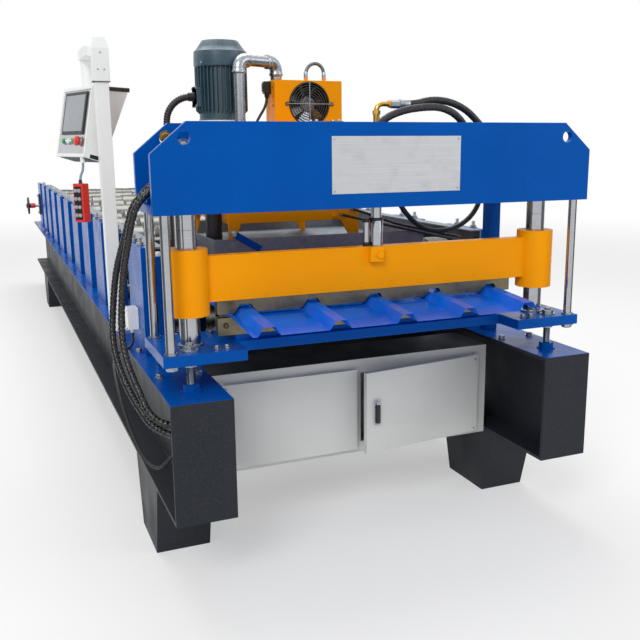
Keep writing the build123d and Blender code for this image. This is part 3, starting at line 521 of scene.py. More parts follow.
def add_hose(bm, points, radius_at, sides=14, slot=0):
    """A tube whose radius follows radius_at(distance along, angle round), extruded ring by ring."""
    uv = bm.loops.layers.uv.get("run") or bm.loops.layers.uv.new("run")
    heading = (points[1] - points[0]).normalized()
    across = heading.orthogonal().normalized()
    first = bmesh.ops.create_circle(bm, cap_ends=False, segments=sides, radius=1)["verts"]
    edges = list({e for v in first for e in v.link_edges})
    order = sorted(first, key=lambda v: math.atan2(v.co.y, v.co.x) % math.tau)
    rings, distance = [], 0.0
    for i, point in enumerate(points):
        if i:
            distance += (point - points[i - 1]).length
            after = points[min(i + 1, len(points) - 1)] - points[i - 1]
            turn = heading.rotation_difference(after.normalized())
            across = turn @ across
            heading = after.normalized()
            made = bmesh.ops.extrude_edge_only(bm, edges=edges)["geom"]
            edges = [g for g in made if isinstance(g, bmesh.types.BMEdge) and len(g.link_faces) == 1]
            fresh = {v for v in made if isinstance(v, bmesh.types.BMVert)}
            order = [next(e.other_vert(v) for e in v.link_edges if e.other_vert(v) in fresh) for v in order]
        side = heading.cross(across)
        for k, vert in enumerate(order):
            angle = math.tau * k / sides
            out = across * math.cos(angle) + side * math.sin(angle)
            vert.co = point + out * radius_at(distance, angle)
        rings.append((list(order), distance))
    for verts, _ in (rings[0], rings[-1]):
        bmesh.ops.contextual_create(bm, geom=verts)
    place = {v: (k, distance) for verts, distance in rings for k, v in enumerate(verts)}
    for face in {f for verts, _ in rings for v in verts for f in v.link_faces}:
        face.material_index = slot
        ks = [place[loop.vert][0] for loop in face.loops]
        for loop in face.loops:
            k, along = place[loop.vert]
            if k == 0 and max(ks) == sides - 1:
                k = sides
            loop[uv].uv = (along / 1000, k / sides * 0.06)
    return distance


def hose_piece(name, route, finish, radius_at, step, node, sides=14):
    """A hose with a modelled surface along its route's smooth line."""
    points = even_points(spline_points(route, name + " line"), step)
    bm = bmesh.new()
    length = add_hose(bm, points, radius_at, sides)
    piece = keep_piece(name, finish, corner=50.0, node=node, bm=bm)


def cable_piece(name, route, diameter, finish, node, body="base"):
    """A smooth cable, as a round curve along its route."""
    length = line_length(spline_points(route, name + " line"))
    curve = route_curve(route, name)
    curve.resolution_u = 8
    curve.bevel_depth = diameter / 2000
    curve.bevel_resolution = 4
    curve.use_fill_caps = True
    piece = bpy.data.objects.new(name, curve)
    bpy.context.scene.collection.objects.link(piece)
    curve.materials.append(FINISH[finish])
    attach(piece, body)
    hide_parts(node)


# Places shared by several pieces, in millimetres
BEAM_TOP = 590
STAND_TOP = 946
INNER_FACE = 625
OUTER_FACE = 650
STATIONS = [705 + 480 * i for i in range(10)]
LOWER_SHAFT = 700.2
UPPER_SHAFT = 844
RIBS = [-420, -210, 0, 210, 420]
RIB_RISE = 23


def dress_beams():
    """The two rolled beams, their legs and the channels between them."""
    def top_is_blue(centre, normal):
        return 1 if normal.z > 0.9 and centre.z > BEAM_TOP - 1 else 0

    dressed("left_beam, right_beam", "charcoal enamel, blue enamel", choose=top_is_blue)
    dressed("front_legs, rear_legs, cross_ties", "charcoal enamel")
    bolts = grid((-662, -545, 545, 662), (292, 636, 4716, 5056), [BEAM_TOP])
    keep_piece("leg_bolts", "zinc plate", *each(add_nut, bolts, UP, millimetres("bolt") * 1.2, 12))


def dress_stands():
    """Stand plates with their foot bolts, levelling studs on top and the strip along their tops."""
    dressed("left_stands, right_stands, entry_brackets", "blue enamel", edge=millimetres("edge") * 1.4)
    # Nuts on the feet, and screws of the bearing covers on the plates' inner faces
    bolts = []
    for side, inward in ((-1, RIGHT), (1, LEFT)):
        for y in STATIONS:
            feet = grid([side * 585], (y - 95, y, y + 95), [BEAM_TOP + 20])
            bolts += each(add_nut, feet, UP, millimetres("bolt"), 11)
            for height in (LOWER_SHAFT, UPPER_SHAFT):
                covers = grid([side * INNER_FACE], both(38, y), both(38, height))
                bolts += each(add_screw, covers, inward, 6, 7)
    keep_piece("stand_bolts", "zinc plate", *bolts)
    studs = []
    for seat in grid(both(OUTER_FACE - 12.5), spaced(STATIONS, both(60)), [STAND_TOP]):
        studs += [(add_nut, seat, UP, 12, 11), (add_thread, seat + Vector((0, 0, 11)), UP, 15, 7, 2.5)]
    keep_piece("adjusting_studs", "zinc plate", *studs, node="adjusting_screws")
    dressed("stand_rails", "galvanised steel", edge=0.8)


def roll_profile(base, rise, shaft, edge):
    """One roll shaft as (distance, radius) pairs: split rings with the profile's ribs worked in."""
    foot, crest = 33, 16
    segments = []
    left = -edge
    for x in RIBS:
        start, end = both(foot, x)
        segments.append(((left, base), (start, base)))
        segments.append(((start, base), (x - crest, base + rise), (x + crest, base + rise), (end, base)))
        left = end
    segments.append(((left, base), (edge, base)))
    profile = [(-INNER_FACE + 1, 0), (-INNER_FACE + 1, shaft), (-edge, shaft)]
    gap, bevel = 0.7, 1.0
    for (start, first), *between, (end, last) in segments:
        profile += [(start + gap, shaft * 1.1), (start + gap, first - bevel), (start + gap + bevel, first)]
        profile += [*between, (end - gap - bevel, last), (end - gap, last - bevel), (end - gap, shaft * 1.1)]
    profile += [(edge, shaft), (INNER_FACE - 1, shaft), (INNER_FACE - 1, 0)]
    return profile


def dress_rolls():
    """Lower and upper rolls of split rings, whose ribs grow from the entry to the shear, and the sheet."""
    for name, node, height, base, sign in (
        ("lower_roll_rings", "lower_rolls", LOWER_SHAFT, 74, 1),
        ("upper_roll_rings", "upper_rolls", UPPER_SHAFT, 67, -1),
    ):
        rolls = []
        for i, y in enumerate(STATIONS):
            rise = sign * RIB_RISE * (1 - i / len(STATIONS))
            rolls.append((add_turned, (0, y, height), RIGHT, roll_profile(base, rise, 30, 540), 28))
        keep_piece(name, "roll steel", *rolls, corner=30, node=node)
    sheet = bpy.data.objects["formed_sheet"].data
    sheet.materials.clear()
    sheet.materials.append(FINISH["coil coating"])


CHAIN_X = 666.3
CHAIN_RADIUS = 69.8
CHAIN_PITCH = 38.1
CHAIN_RUN = STATIONS[-1] - STATIONS[0]


def chain_place(distance):
    """Where a link stands on the chain's loop, and how far it is turned."""
    arc = math.pi * CHAIN_RADIUS
    if distance < CHAIN_RUN:
        y, z, turn = STATIONS[0] + distance, CHAIN_RADIUS, 0.0
    elif distance < CHAIN_RUN + arc:
        turn = (CHAIN_RUN - distance) / CHAIN_RADIUS
        y, z = STATIONS[-1] - CHAIN_RADIUS * math.sin(turn), CHAIN_RADIUS * math.cos(turn)
    elif distance < 2 * CHAIN_RUN + arc:
        y, z, turn = STATIONS[-1] - (distance - CHAIN_RUN - arc), -CHAIN_RADIUS, math.pi
    else:
        turn = math.pi - (distance - 2 * CHAIN_RUN - arc) / CHAIN_RADIUS
        y, z = STATIONS[0] - CHAIN_RADIUS * math.sin(turn), CHAIN_RADIUS * math.cos(turn)
    return Matrix.Translation((CHAIN_X, y, LOWER_SHAFT + z)) @ Matrix.Rotation(turn, 4, "X")


def add_link(bm, place, wide):
    """Two plates with rounded ends and the pin at one end of them."""
    for side in both(wide):
        verts = add_block(bm, both(0.6, side), both(22), both(7))
        corners = {e for v in verts for e in v.link_edges if abs(e.verts[0].co.x - e.verts[1].co.x) > 0.5}
        rounded = bmesh.ops.bevel(
            bm, geom=list(corners), offset=5, offset_type="OFFSET", affect="EDGES", segments=2, profile=0.5,
            material=-1,
        )
        move(bm, connected(rounded["verts"]), place)
    move(bm, add_bar(bm, (-5, -19, 0), (5, -19, 0), 4.5, 8), place)


def dress_drive():
    """Chain wheels, the roller chain round them and the hydraulic drive motor."""
    dressed("drive_sprockets", "oiled chain", edge=0.8)
    around = 2 * CHAIN_RUN + math.tau * CHAIN_RADIUS
    count = round(around / CHAIN_PITCH)
    links = [(add_link, chain_place(around * i / count), 4.6 if i % 2 else 3.4) for i in range(count)]
    keep_piece("drive_chain_links", "oiled chain", *links, node="drive_chain")
    dressed("drive_motor", "charcoal enamel")
    y = 3105
    keep_piece(
        "drive_motor_bolts", "zinc plate",
        *each(add_nut, grid([704.6], both(44, y), both(44, LOWER_SHAFT)), RIGHT, 8, 9),
        *each(add_nut, grid(both(22, 772.1), [y], [LOWER_SHAFT + 70]), UP, 11, 8),
    )


PRESS_FRONT = 63
PLATE_TOP = 707
HOLDER_FRONT = 166
BEAM_UNDER = 1087
PILLAR_X = 588
PILLAR_Y = 185
ROD_X = 664


def dress_crossbeam():
    """The two deep plates of the press with their seats, nameplate and lifting eyes."""
    dressed("crossbeam_front_plate, crossbeam_back_plate", "blue enamel", edge=millimetres("edge") * 1.6)
    dressed("crossbeam_seats", "blue enamel")
    dressed("press_cylinder", "blue enamel", edge=2.0)
    left, right, low, high, margin = -196, 219, 1129, 1289, 8
    plate = (add_block, (left, right), (PRESS_FRONT - 1.6, PRESS_FRONT - 0.1), (low, high))
    keep_piece("blank_nameplate", "brushed aluminium", plate, edge=0.5)
    rivets = grid((left + margin, right - margin), [PRESS_FRONT - 1.5], (low + margin, high - margin))
    dome = ((0, 3.4), (1.2, 3.0), (2.0, 1.6), (2.3, 0))
    keep_piece("nameplate_rivets", "zinc plate", *each(add_turned, rivets, FRONT, dome, 12))
    keep_piece(
        "eye_bolt", "brass", (add_bar, (-608, 290, 1290), (-608, 322, 1290), 9, 16),
        (add_nut, (-608, 297, 1290), FRONT, 13, 10),
    )
    keep_piece("seat_nut", "blue enamel", (add_nut, (-681, 180, BEAM_UNDER + 25), UP, 12, 16))
    # Nuts on the cylinder's flange, seen between the plates from above
    keep_piece(
        "cylinder_nuts", "zinc plate", *each(add_nut, grid(both(115), (120, 255), [1112]), UP, 13, 14),
        (add_turned, (0, PILLAR_Y, 1318), UP, solid((0, 46), (7, 46), (10, 43))),
    )


def dress_base_plates():
    """The thick base plates with their bolts, levelling studs and the fixed blade's beam."""
    dressed("base_plates, blade_support", "blue enamel", edge=millimetres("edge") * 1.6)
    places = ((500, 108), (530, 108), (500, 300), (640, 240))
    bolts = [(side * x, y, PLATE_TOP) for side in (-1, 1) for x, y in places]
    keep_piece("base_plate_bolts", "zinc plate", *each(add_nut, bolts, UP, millimetres("bolt"), 10))
    studs = []
    for x, y in ((-606, 120), (606, 120)):
        studs += [
            (add_bar, (x, y, BEAM_TOP), (x, y, BEAM_TOP + 4), 30, 32, 1),
            (add_bar, (x, y, BEAM_TOP + 4), (x, y, BEAM_TOP + 20), 24, 6, 1),
            (add_thread, (x, y, BEAM_TOP + 20), UP, 55, 12, 3),
            (add_nut, (x, y, 675), DOWN, 19, 15),
            (add_nut, (x, y, PLATE_TOP), UP, 19, 15),
            (add_thread, (x, y, PLATE_TOP + 15), UP, 7, 12, 3),
        ]
    keep_piece("levelling_studs", "zinc plate, blue enamel", *studs, node="levelling_screws")


def dress_pillars():
    """Chromed guide pillars and tie rods between the base plates and the crossbeam."""
    pillars = grid(both(PILLAR_X), [PILLAR_Y], [PLATE_TOP])
    ground = solid((0, 30), (330, 30), (330.5, 29.6), (331.5, 29.6), (332, 30), (380, 30))
    chromed = each(add_turned, pillars, UP, ground, 56)
    keep_piece("ground_pillars", "hard chrome", *chromed, node="guide_pillars")
    rods = grid(both(ROD_X), (91, 316), [PLATE_TOP])
    round_bar = solid((0, 13.5), (380, 13.5))
    keep_piece("ground_rods", "hard chrome", *each(add_turned, rods, UP, round_bar), node="tie_rods")
    washer = ((0, 13.6), (0, 19), (5, 19), (5, 13.6))
    nuts = []
    for rod in rods:
        nuts += [(add_nut, rod - Vector((0, 0, 32)), DOWN, 17, 14), (add_turned, rod, UP, washer, 24)]
    collar = ((0, 30.1), (0, 38), (5, 38), (6, 36.5), (6, 30.1))
    keep_piece("rod_nuts", "zinc plate", *nuts, *each(add_turned, pillars, UP, collar))


def add_weld(bm, start, end, radius):
    """A bead with the ripple of its passes."""
    length = (Vector(end) - Vector(start)).length
    ripples = int(length / 4)
    profile = [(length * i / ripples, radius * (1.0 if i % 2 else 0.84)) for i in range(ripples + 1)]
    add_turned(bm, start, Vector(end) - Vector(start), solid(*profile), 10)


def dress_ram():
    """The moving part of the shear: holder, its screws and welds, blade, coupling and rods."""
    ram, bead = "blade_ram", millimetres("weld")
    dressed("blade_holder", "yellow enamel", ram, edge=millimetres("edge") * 1.6)
    welds = []
    for y, reach in ((HOLDER_FRONT, 55.9), (202, 56.5)):
        welds += [(add_weld, (x, y, 831), (x, y, 961), bead) for x in both(PILLAR_X - reach)]
    keep_piece("sleeve_welds", "yellow enamel", *welds, body=ram, corner=60)
    head = ((0, 8.5), (0.8, 8.2), (1.0, 6.4), (0.2, 5.6), (0.2, 0))
    screws = grid([101 * i - 463 for i in range(10)], [HOLDER_FRONT], [846])
    keep_piece("holder_screws", "yellow enamel", *each(add_turned, screws, FRONT, head, 16), body=ram)
    keep_piece(
        "ram_coupling", "hard chrome, black nylon",
        (add_turned, (0, PILLAR_Y, 962), UP, solid((0, 21), (76, 21), (78, 20)), 48),
        (add_turned, (0, PILLAR_Y, 1046.9), UP, solid((0, 16.5), (158, 16.5)), 48),
        (add_turned, (0, PILLAR_Y, 1040), UP, solid((0, 21.6), (1, 22), (6, 22), (7, 21.4)), 48, 1),
        (add_turned, (-34, PILLAR_Y, 974), UP, solid((0, 9.5), (60, 9.5)), 28),
        *each(add_turned, grid([-34], [PILLAR_Y], (962, 1034)), UP, solid((0, 10.4), (12, 10.4)), 28, 1),
        body=ram, node="piston_rod",
    )
    dressed("upper_blade", "tool steel", ram, edge=0.7)
    dressed("lower_blade", "tool steel", edge=0.7)
    bolts = grid((-480, -315, -105, 105, 315, 475), [190], [752])
    keep_piece("lower_blade_screws", "oiled chain", *each(add_screw, bolts, FRONT, 8, 8))


def dress_columns():
    """The posts at the back of the press, one with a row of studs."""
    dressed("rear_columns", "blue enamel")
    studs = grid([612], [448], [700 + 28 * i for i in range(13)])
    keep_piece("column_studs", "black nylon", *each(add_nut, studs, RIGHT, 6, 9))
    keep_piece("short_column_screw", "white plastic", (add_screw, (-620, 447, 934), UP, 11, 12))


# Routes of the hoses and cables, in millimetres
PENDANT_CABLE = ((-748.4, 1116.4, 1203), (-748.4, 1116.4, 1178), (-762, 1117, 1155), (-762, 1117, 1129))
FRONT_HOSE = (
    (-545, 267, 1222), (-545, 220, 1222), (-570, 183, 1206), (-606, 161, 1183),
    (-651, 152, 1168), (-694, 151, 1143), (-727, 158, 1105), (-741, 170, 1049),
    (-747, 190, 1000), (-756, 207, 950), (-763, 215, 896), (-768, 219, 841),
    (-773, 216, 786), (-775, 205, 732), (-770, 185, 681), (-760, 157, 636),
    (-747, 125, 595), (-737, 91, 555), (-708, 59, 526), (-658, 50, 517),
    (-607, 50, 517),
)
REAR_HOSE = (
    (-560, 267, 1262), (-560, 225, 1262), (-580, 190, 1243), (-616, 175, 1208),
    (-653, 197, 1181), (-691, 206, 1143), (-726, 215, 1103), (-738, 232, 1045),
    (-749, 259, 999), (-760, 284, 951), (-769, 305, 900), (-775, 317, 846),
    (-781, 321, 790), (-787, 313, 735), (-787, 291, 684), (-780, 260, 639),
    (-771, 220, 602), (-760, 178, 570), (-745, 137, 542), (-731, 94, 516),
    (-698, 60, 498), (-657, 34, 484), (-607, 34, 484),
)
SWITCH_CABLE = (
    (-669.3, 700, 644), (-669.3, 700, 621), (-676.6, 688, 603), (-692, 663, 598),
    (-714, 628, 601), (-735, 585, 608), (-756, 520, 614), (-772, 440, 610),
    (-780, 362, 587), (-779, 284, 536), (-766, 204, 462), (-746, 126, 404),
    (-722, 66, 392), (-702, 37, 422), (-676, 27, 452), (-641, 27, 456), (-607, 27, 456),
)
PRESSURE_HOSE = (
    (75, 185, 1383), (126, 185, 1383), (176, 190, 1396), (227, 192, 1397),
    (277, 193, 1386), (323, 197, 1365), (360, 194, 1332), (385, 179, 1292),
    (388, 188, 1244), (388, 224, 1215), (388, 267, 1215),
)
RETURN_HOSE = (
    (-95, 103, 1112), (-95, 103, 1167), (-89, 103, 1222), (-73, 104, 1274),
    (-40, 105, 1318), (6, 104, 1348), (57, 102, 1364), (110, 101, 1371),
    (162, 101, 1373), (212, 102, 1359), (252, 106, 1328), (278, 116, 1287),
    (291, 136, 1244), (291, 174, 1214), (290, 219, 1200), (290, 267, 1200),
)
LOOP_HOSE = (
    (520, 347, 1180), (520, 392, 1180), (526, 428, 1150), (533, 435, 1103),
    (529, 440, 1056), (505, 445, 1014), (466, 450, 983), (419, 451, 967),
    (368, 452, 963), (317, 452, 973), (273, 453, 1000), (237, 456, 1038),
    (210, 462, 1083), (188, 475, 1129), (165, 494, 1172), (143, 517, 1215),
    (120, 540, 1256), (88, 553, 1295), (60, 590, 1318), (60, 640, 1318),
)
UPPER_LINE = (
    (100, 600, 1040), (100, 536, 1040), (155, 501, 1018), (224, 510, 993),
    (299, 501, 975), (376, 502, 958), (450, 517, 941), (519, 539, 927),
    (552, 598, 906), (620, 598, 906),
)
LOWER_LINE = (
    (60, 600, 1022), (60, 535, 1022), (120, 499, 1007), (194, 493, 988),
    (271, 484, 971), (350, 485, 951), (428, 498, 934), (502, 520, 920),
    (548, 577, 903), (620, 577, 903),
)
MOTOR_CONDUIT = (
    (-363, 950, 1435), (-391.5, 950, 1435), (-418.6, 950, 1426.2), (-441.7, 950, 1409.4),
    (-458.5, 950, 1386.4), (-467.3, 950, 1359.3), (-468, 950, 1304), (-466.5, 950, 1210),
    (-463, 948, 1050), (-459, 947, 860), (-456, 946, 650), (-455, 945, 491),
)
COOLER_CABLE = (
    (-107.3, 892.5, 1447), (-107.3, 892.5, 1424), (-118, 889, 1396), (-140, 884, 1366),
    (-158, 880, 1336), (-166, 878, 1312), (-166, 878, 1290),
)
COOLER_LOOP = (
    (47, 893, 1507), (47, 893, 1529), (57, 893, 1549), (76, 894, 1560),
    (97, 894, 1559), (113, 893, 1546), (119, 893, 1528), (119, 893, 1507),
)


def plain(radius):
    return lambda along, angle: radius


def wrapped(radius, pitch, depth):
    """A hose under a spiral guard, whose ribbon stands out and leaves a groove between its turns."""
    return lambda along, angle: radius - (depth if (along / pitch + angle / math.tau) % 1.0 < 0.24 else 0.0)


def ringed(radius, pitch, depth):
    """A corrugated conduit with rings side by side."""
    return lambda along, angle: radius - depth * (0.5 - 0.5 * math.cos(math.tau * along / pitch))


def add_ferrule(bm, place, towards, radius, length):
    """The crimped sleeve and swivel nut at a hose's end."""
    shape = ((0, 1.25), (0.3, 1.25), (0.32, 1.05), (0.36, 1.18), (0.9, 1.18), (1, 1.08))
    profile = solid(*((length * along, radius * wide) for along, wide in shape))
    add_turned(bm, place, Vector(towards), profile, 20)


def ferrule_at(place, inner, size):
    return add_ferrule, place, Vector(inner) - Vector(place), size, 34


def dress_hoses():
    """Hydraulic hoses of the press, under spiral guards on the left."""
    wrap = millimetres("wrap")
    for name, route in (("left_front_hose", FRONT_HOSE), ("left_rear_hose", REAR_HOSE)):
        hose_piece(name, route, "spiral guard", wrapped(10, wrap, 2.0), 3.0, "left_hoses")
    for name, route, size in (
        ("pressure_hose", PRESSURE_HOSE, 22), ("return_hose", RETURN_HOSE, 22), ("loop_hose", LOOP_HOSE, 18),
    ):
        hose_piece(name, route, "black rubber", wrapped(size / 2, wrap, 0.5), 4.0, "press_hoses")
    left = ((FRONT_HOSE, 10), (REAR_HOSE, 10))
    ends = [ferrule_at(route[0], route[1], size) for route, size in left]
    for route, size in ((PRESSURE_HOSE, 11), (RETURN_HOSE, 11), (LOOP_HOSE, 9)):
        ends += [ferrule_at(route[0], route[1], size), ferrule_at(route[-1], route[-2], size)]
    keep_piece("hose_ferrules", "zinc plate", *ends)
    grommets = []
    for route, size in (*left, (SWITCH_CABLE, 4.5)):
        lip = ((0, size * 0.9), (0, size * 1.7), (4, size * 1.7), (7, size * 1.15), (7, size * 0.9))
        grommets.append((add_turned, route[-1], LEFT, lip, 24))
    keep_piece("beam_grommets", "black nylon", *grommets)
    ports = [(x, 297, z) for x, z in ((-545, 1222), (-560, 1262), (290, 1200), (388, 1215))]
    # The cylinder's elbow: a brass body on the port, a round bend, and the hose's swivel nut
    up, out, bend = Vector(UP), Vector(RIGHT), 20
    base, top = Vector((0, PILLAR_Y, 1318)), Vector((0, PILLAR_Y, 1383))
    line = [base + up * 40]
    for turn in (math.pi / 2 * i / 8 for i in range(9)):
        line.append(top + out * bend * (1 - math.cos(turn)) + up * bend * (math.sin(turn) - 1))
    line.append(top + out * 44)
    keep_piece(
        "cylinder_elbow", "brass, zinc plate", *each(add_nut, ports, FRONT, 17, 30, 1),
        (add_nut, (520, 317, 1180), BACK, 17, 30, 1),
        (add_bar, base, base + up * 12, 15, 6),
        (add_bar, base + up * 12, base + up * 34, 10, 20),
        (add_bar, base + up * 34, base + up * 46, 12, 6),
        (add_hose, line, plain(7.5), 16),
        (add_bar, top + out * 38, top + out * 46, 11, 6),
        (add_bar, top + out * 46, top + out * 75, 13, 6, 1),
        edge=0.5, node="hose_fittings",
    )


def dress_cables():
    """Switch cable, oil lines, the motor's conduit and the cooler's cable and braided loop."""
    cable_piece("limit_switch_cable", SWITCH_CABLE, 9, "black rubber", "switch_cable")
    for name, route in (("upper_oil_line", UPPER_LINE), ("lower_oil_line", LOWER_LINE)):
        cable_piece(name, route, 10, "black rubber", "oil_lines")
    hose_piece("motor_conduit_rings", MOTOR_CONDUIT, "black nylon", ringed(13, 9.0, 2.2), 2.25,
               "motor_conduit", sides=16)
    cable_piece("cooler_power_cable", COOLER_CABLE, 10, "black rubber", "cooler_lines")
    hose_piece("cooler_braid", COOLER_LOOP, "steel braid", plain(6.5), 3.0, "cooler_lines", sides=20)
    cable_piece("pendant_lead", PENDANT_CABLE, 9, "grey cable", "pendant_cable", body="control_head")
    ends = each(add_ferrule, (COOLER_LOOP[0], COOLER_LOOP[-1]), UP, 6.5, 22)
    for route in (UPPER_LINE, LOWER_LINE):
        ends += [(add_ferrule, route[0], FRONT, 5, 24), (add_nut, route[-1], LEFT, 10, 12)]
    keep_piece("line_ferrules", "zinc plate", *ends)
    upper = solid((0, 17), (8, 17), (10, 15.5), (22, 15.5), (24, 13))
    lower = solid((0, 18), (8, 18), (10, 15.5), (20, 15.5), (22, 13))
    keep_piece(
        "conduit_glands", "black nylon", (add_turned, MOTOR_CONDUIT[0], LEFT, upper, 12),
        (add_turned, MOTOR_CONDUIT[-1], UP, lower, 12),
    )


TANK_TOP = 1290
MOTOR = (-262, 950)
FAN = (40, 1411)
COOLER_FRONT = 840


def dress_tray():
    """The drip tray on its bars, with the flat stay that braces the tank's front corner."""
    dressed("oil_tray", "galvanised steel", edge=0.8)
    dressed("tray_bars", "charcoal enamel")
    upper, lower = Vector((-365, 515, 987)), Vector((-266, 515, 927))
    bar = (add_block, both(2.5), both(11), both((upper - lower).length / 2))
    keep_piece("tank_stay", "blue enamel", bar, edge=1.0, place=aim(lower, upper))
    keep_piece("stay_screw", "zinc plate", (add_nut, upper + Vector((7, -2.4, -4)), FRONT, 8, 9))


def dress_tank():
    """The oil tank with its lid screws and plug, the filter beside it, and the valve block with its screws.
    """
    dressed("oil_tank", "yellow enamel", edge=2.0)
    lid = grid((-338, -222, -106, 10, 118), (612, 1138), [TANK_TOP])
    keep_piece("tank_screws", "zinc plate", *each(add_screw, lid, UP, 6, 6))
    dome = ((0, 9.5), (4, 9.5), (7, 8), (9, 4.5), (9.6, 0))
    keep_piece("tank_plug", "yellow enamel", (add_turned, (34, 600, 1018), FRONT, dome, 20))
    canister = solid((0, 26), (3, 28), (40, 28), (41, 27), (44, 27), (45, 28), (205, 28), (206, 26.5),
                     (211, 26.5), (212, 28), (244, 28), (250, 25), (253, 20))
    keep_piece("filter_body", "black nylon", (add_turned, (-384, 660, 914), UP, canister, 40),
               node="filter_canister")
    dressed("valve_block", "tool steel", edge=1.0)
    keep_piece("valve_screws", "zinc plate", *each(add_screw, grid((-8, 78), (652, 708), [1345]), UP, 6, 6),
               (add_nut, (60, 640, 1318), FRONT, 15, 10))


def dress_motor():
    """The upright pump motor: bell housing, finned body, terminal box and fan cover."""
    x, y = MOTOR
    bottom, top = 1359, 1539
    lid = x - 101
    housing = solid(
        (0, 80), (10, 80), (11, 66), (48, 62), (52, 64), (54, 84), (66, 84), (69, 82), (72, 82), (249, 82),
    )
    # The fan cover ends in rings of slots round its middle
    cover = [(0, 93), (3, 96), (10, 97), (44, 96), (54, 95), (57, 92), (58, 90), (74, 78), (90, 67), (93, 64)]
    for radius in (58, 45, 32):
        cover += [(93, radius), (90, radius - 1), (90, radius - 6), (93, radius - 7)]

    def add_fin(bm, angle):
        fin = add_block(bm, (78, 94.5), both(1.7), (bottom + 12, top - 1))
        low = [v for v in fin if v.co.x > 90 and v.co.z < bottom + 20]
        bmesh.ops.translate(bm, vec=(0, 0, 16), verts=low)
        move(bm, fin, Matrix.Translation((x, y, 0)) @ Matrix.Rotation(angle, 4, "Z"))

    # Flutes pressed into the fan cover over its fixing screws
    flutes = [outward(angle) for angle in turns(4, 0.35)]
    feet = [Vector((x, y, top + 4)) + out * 91 for out in flutes]
    fins = bpy.context.scene.machine_sizes.fins
    keep_piece(
        "pump_motor_casting", "motor enamel",
        (add_turned, (x, y, TANK_TOP), UP, housing, 48),
        (add_turned, (x, y, top), UP, solid(*cover), 48),
        *[(add_fin, angle) for angle in turns(fins, 0.5)],
        *[(add_bar, foot, foot + Vector((0, 0, 44)), 9, 16) for foot in feet],
        (add_block, (lid, lid + 25), both(35, y), both(35, bottom + 76)),
        (add_block, (lid, lid + 5), both(37, y), both(37, bottom + 76)),
        edge=0.9, corner=32, node="pump_motor",
    )
    flange = [Vector((x, y, TANK_TOP + 10)) + outward(angle) * 73 for angle in turns(6, 0.5)]
    keep_piece(
        "motor_screws", "zinc plate", *each(add_nut, flange, UP, 6, 7),
        *[(add_screw, Vector((x, y, top + 12)) + out * 99.4, out, 4, 2.5) for out in flutes],
        *each(add_screw, grid([lid], both(30, y), both(30, bottom + 76)), LEFT, 3.5, 3),
    )
    ring = ((0, 84), (0, 86.5), (9, 86.5), (9, 84))
    keep_piece("motor_flange_ring", "white plastic", (add_turned, (x, y, TANK_TOP + 54), UP, ring, 48))


def pipe_line():
    """The middle line of the return pipe, with round bends."""
    bend, steps = 32, 10
    corner = Vector((-232, 824, 1558))
    over = Vector((-70, 892.5, 1558))
    along = (over - corner).normalized()
    up = Vector(UP)
    quarter = [math.pi / 2 * i / steps for i in range(steps + 1)]
    points = [Vector((-232, 824, 1290)), Vector((-232, 824, 1400))]
    for turn in quarter:
        swing = up * bend * math.sin(turn) - along * bend * math.cos(turn)
        points.append(corner + (along - up) * bend + swing)
    for turn in quarter:
        swing = along * bend * math.sin(turn) + up * bend * math.cos(turn)
        points.append(over - (along + up) * bend + swing)
    points.append(Vector((-70, 892.5, 1495)))
    return points


def dress_pipe():
    """The return pipe: plain tube with cast elbows and a union above the cooler."""
    points = even_points(pipe_line(), 3.5)
    total = line_length(points)
    first = 236
    second = total - 31 - 50.3

    def radius_at(along, angle):
        for start in (first, second):
            if start - 14 <= along <= start + 64:
                edge = min(along - (start - 14), start + 64 - along)
                return 25.5 if edge < 9 else 23.0
        return 21.5 if second + 64 < along < total - 2 else 20.0

    tube = (add_hose, points, radius_at, 28)
    keep_piece("return_pipe_line", "zinc plate", tube, corner=50, node="return_pipe")


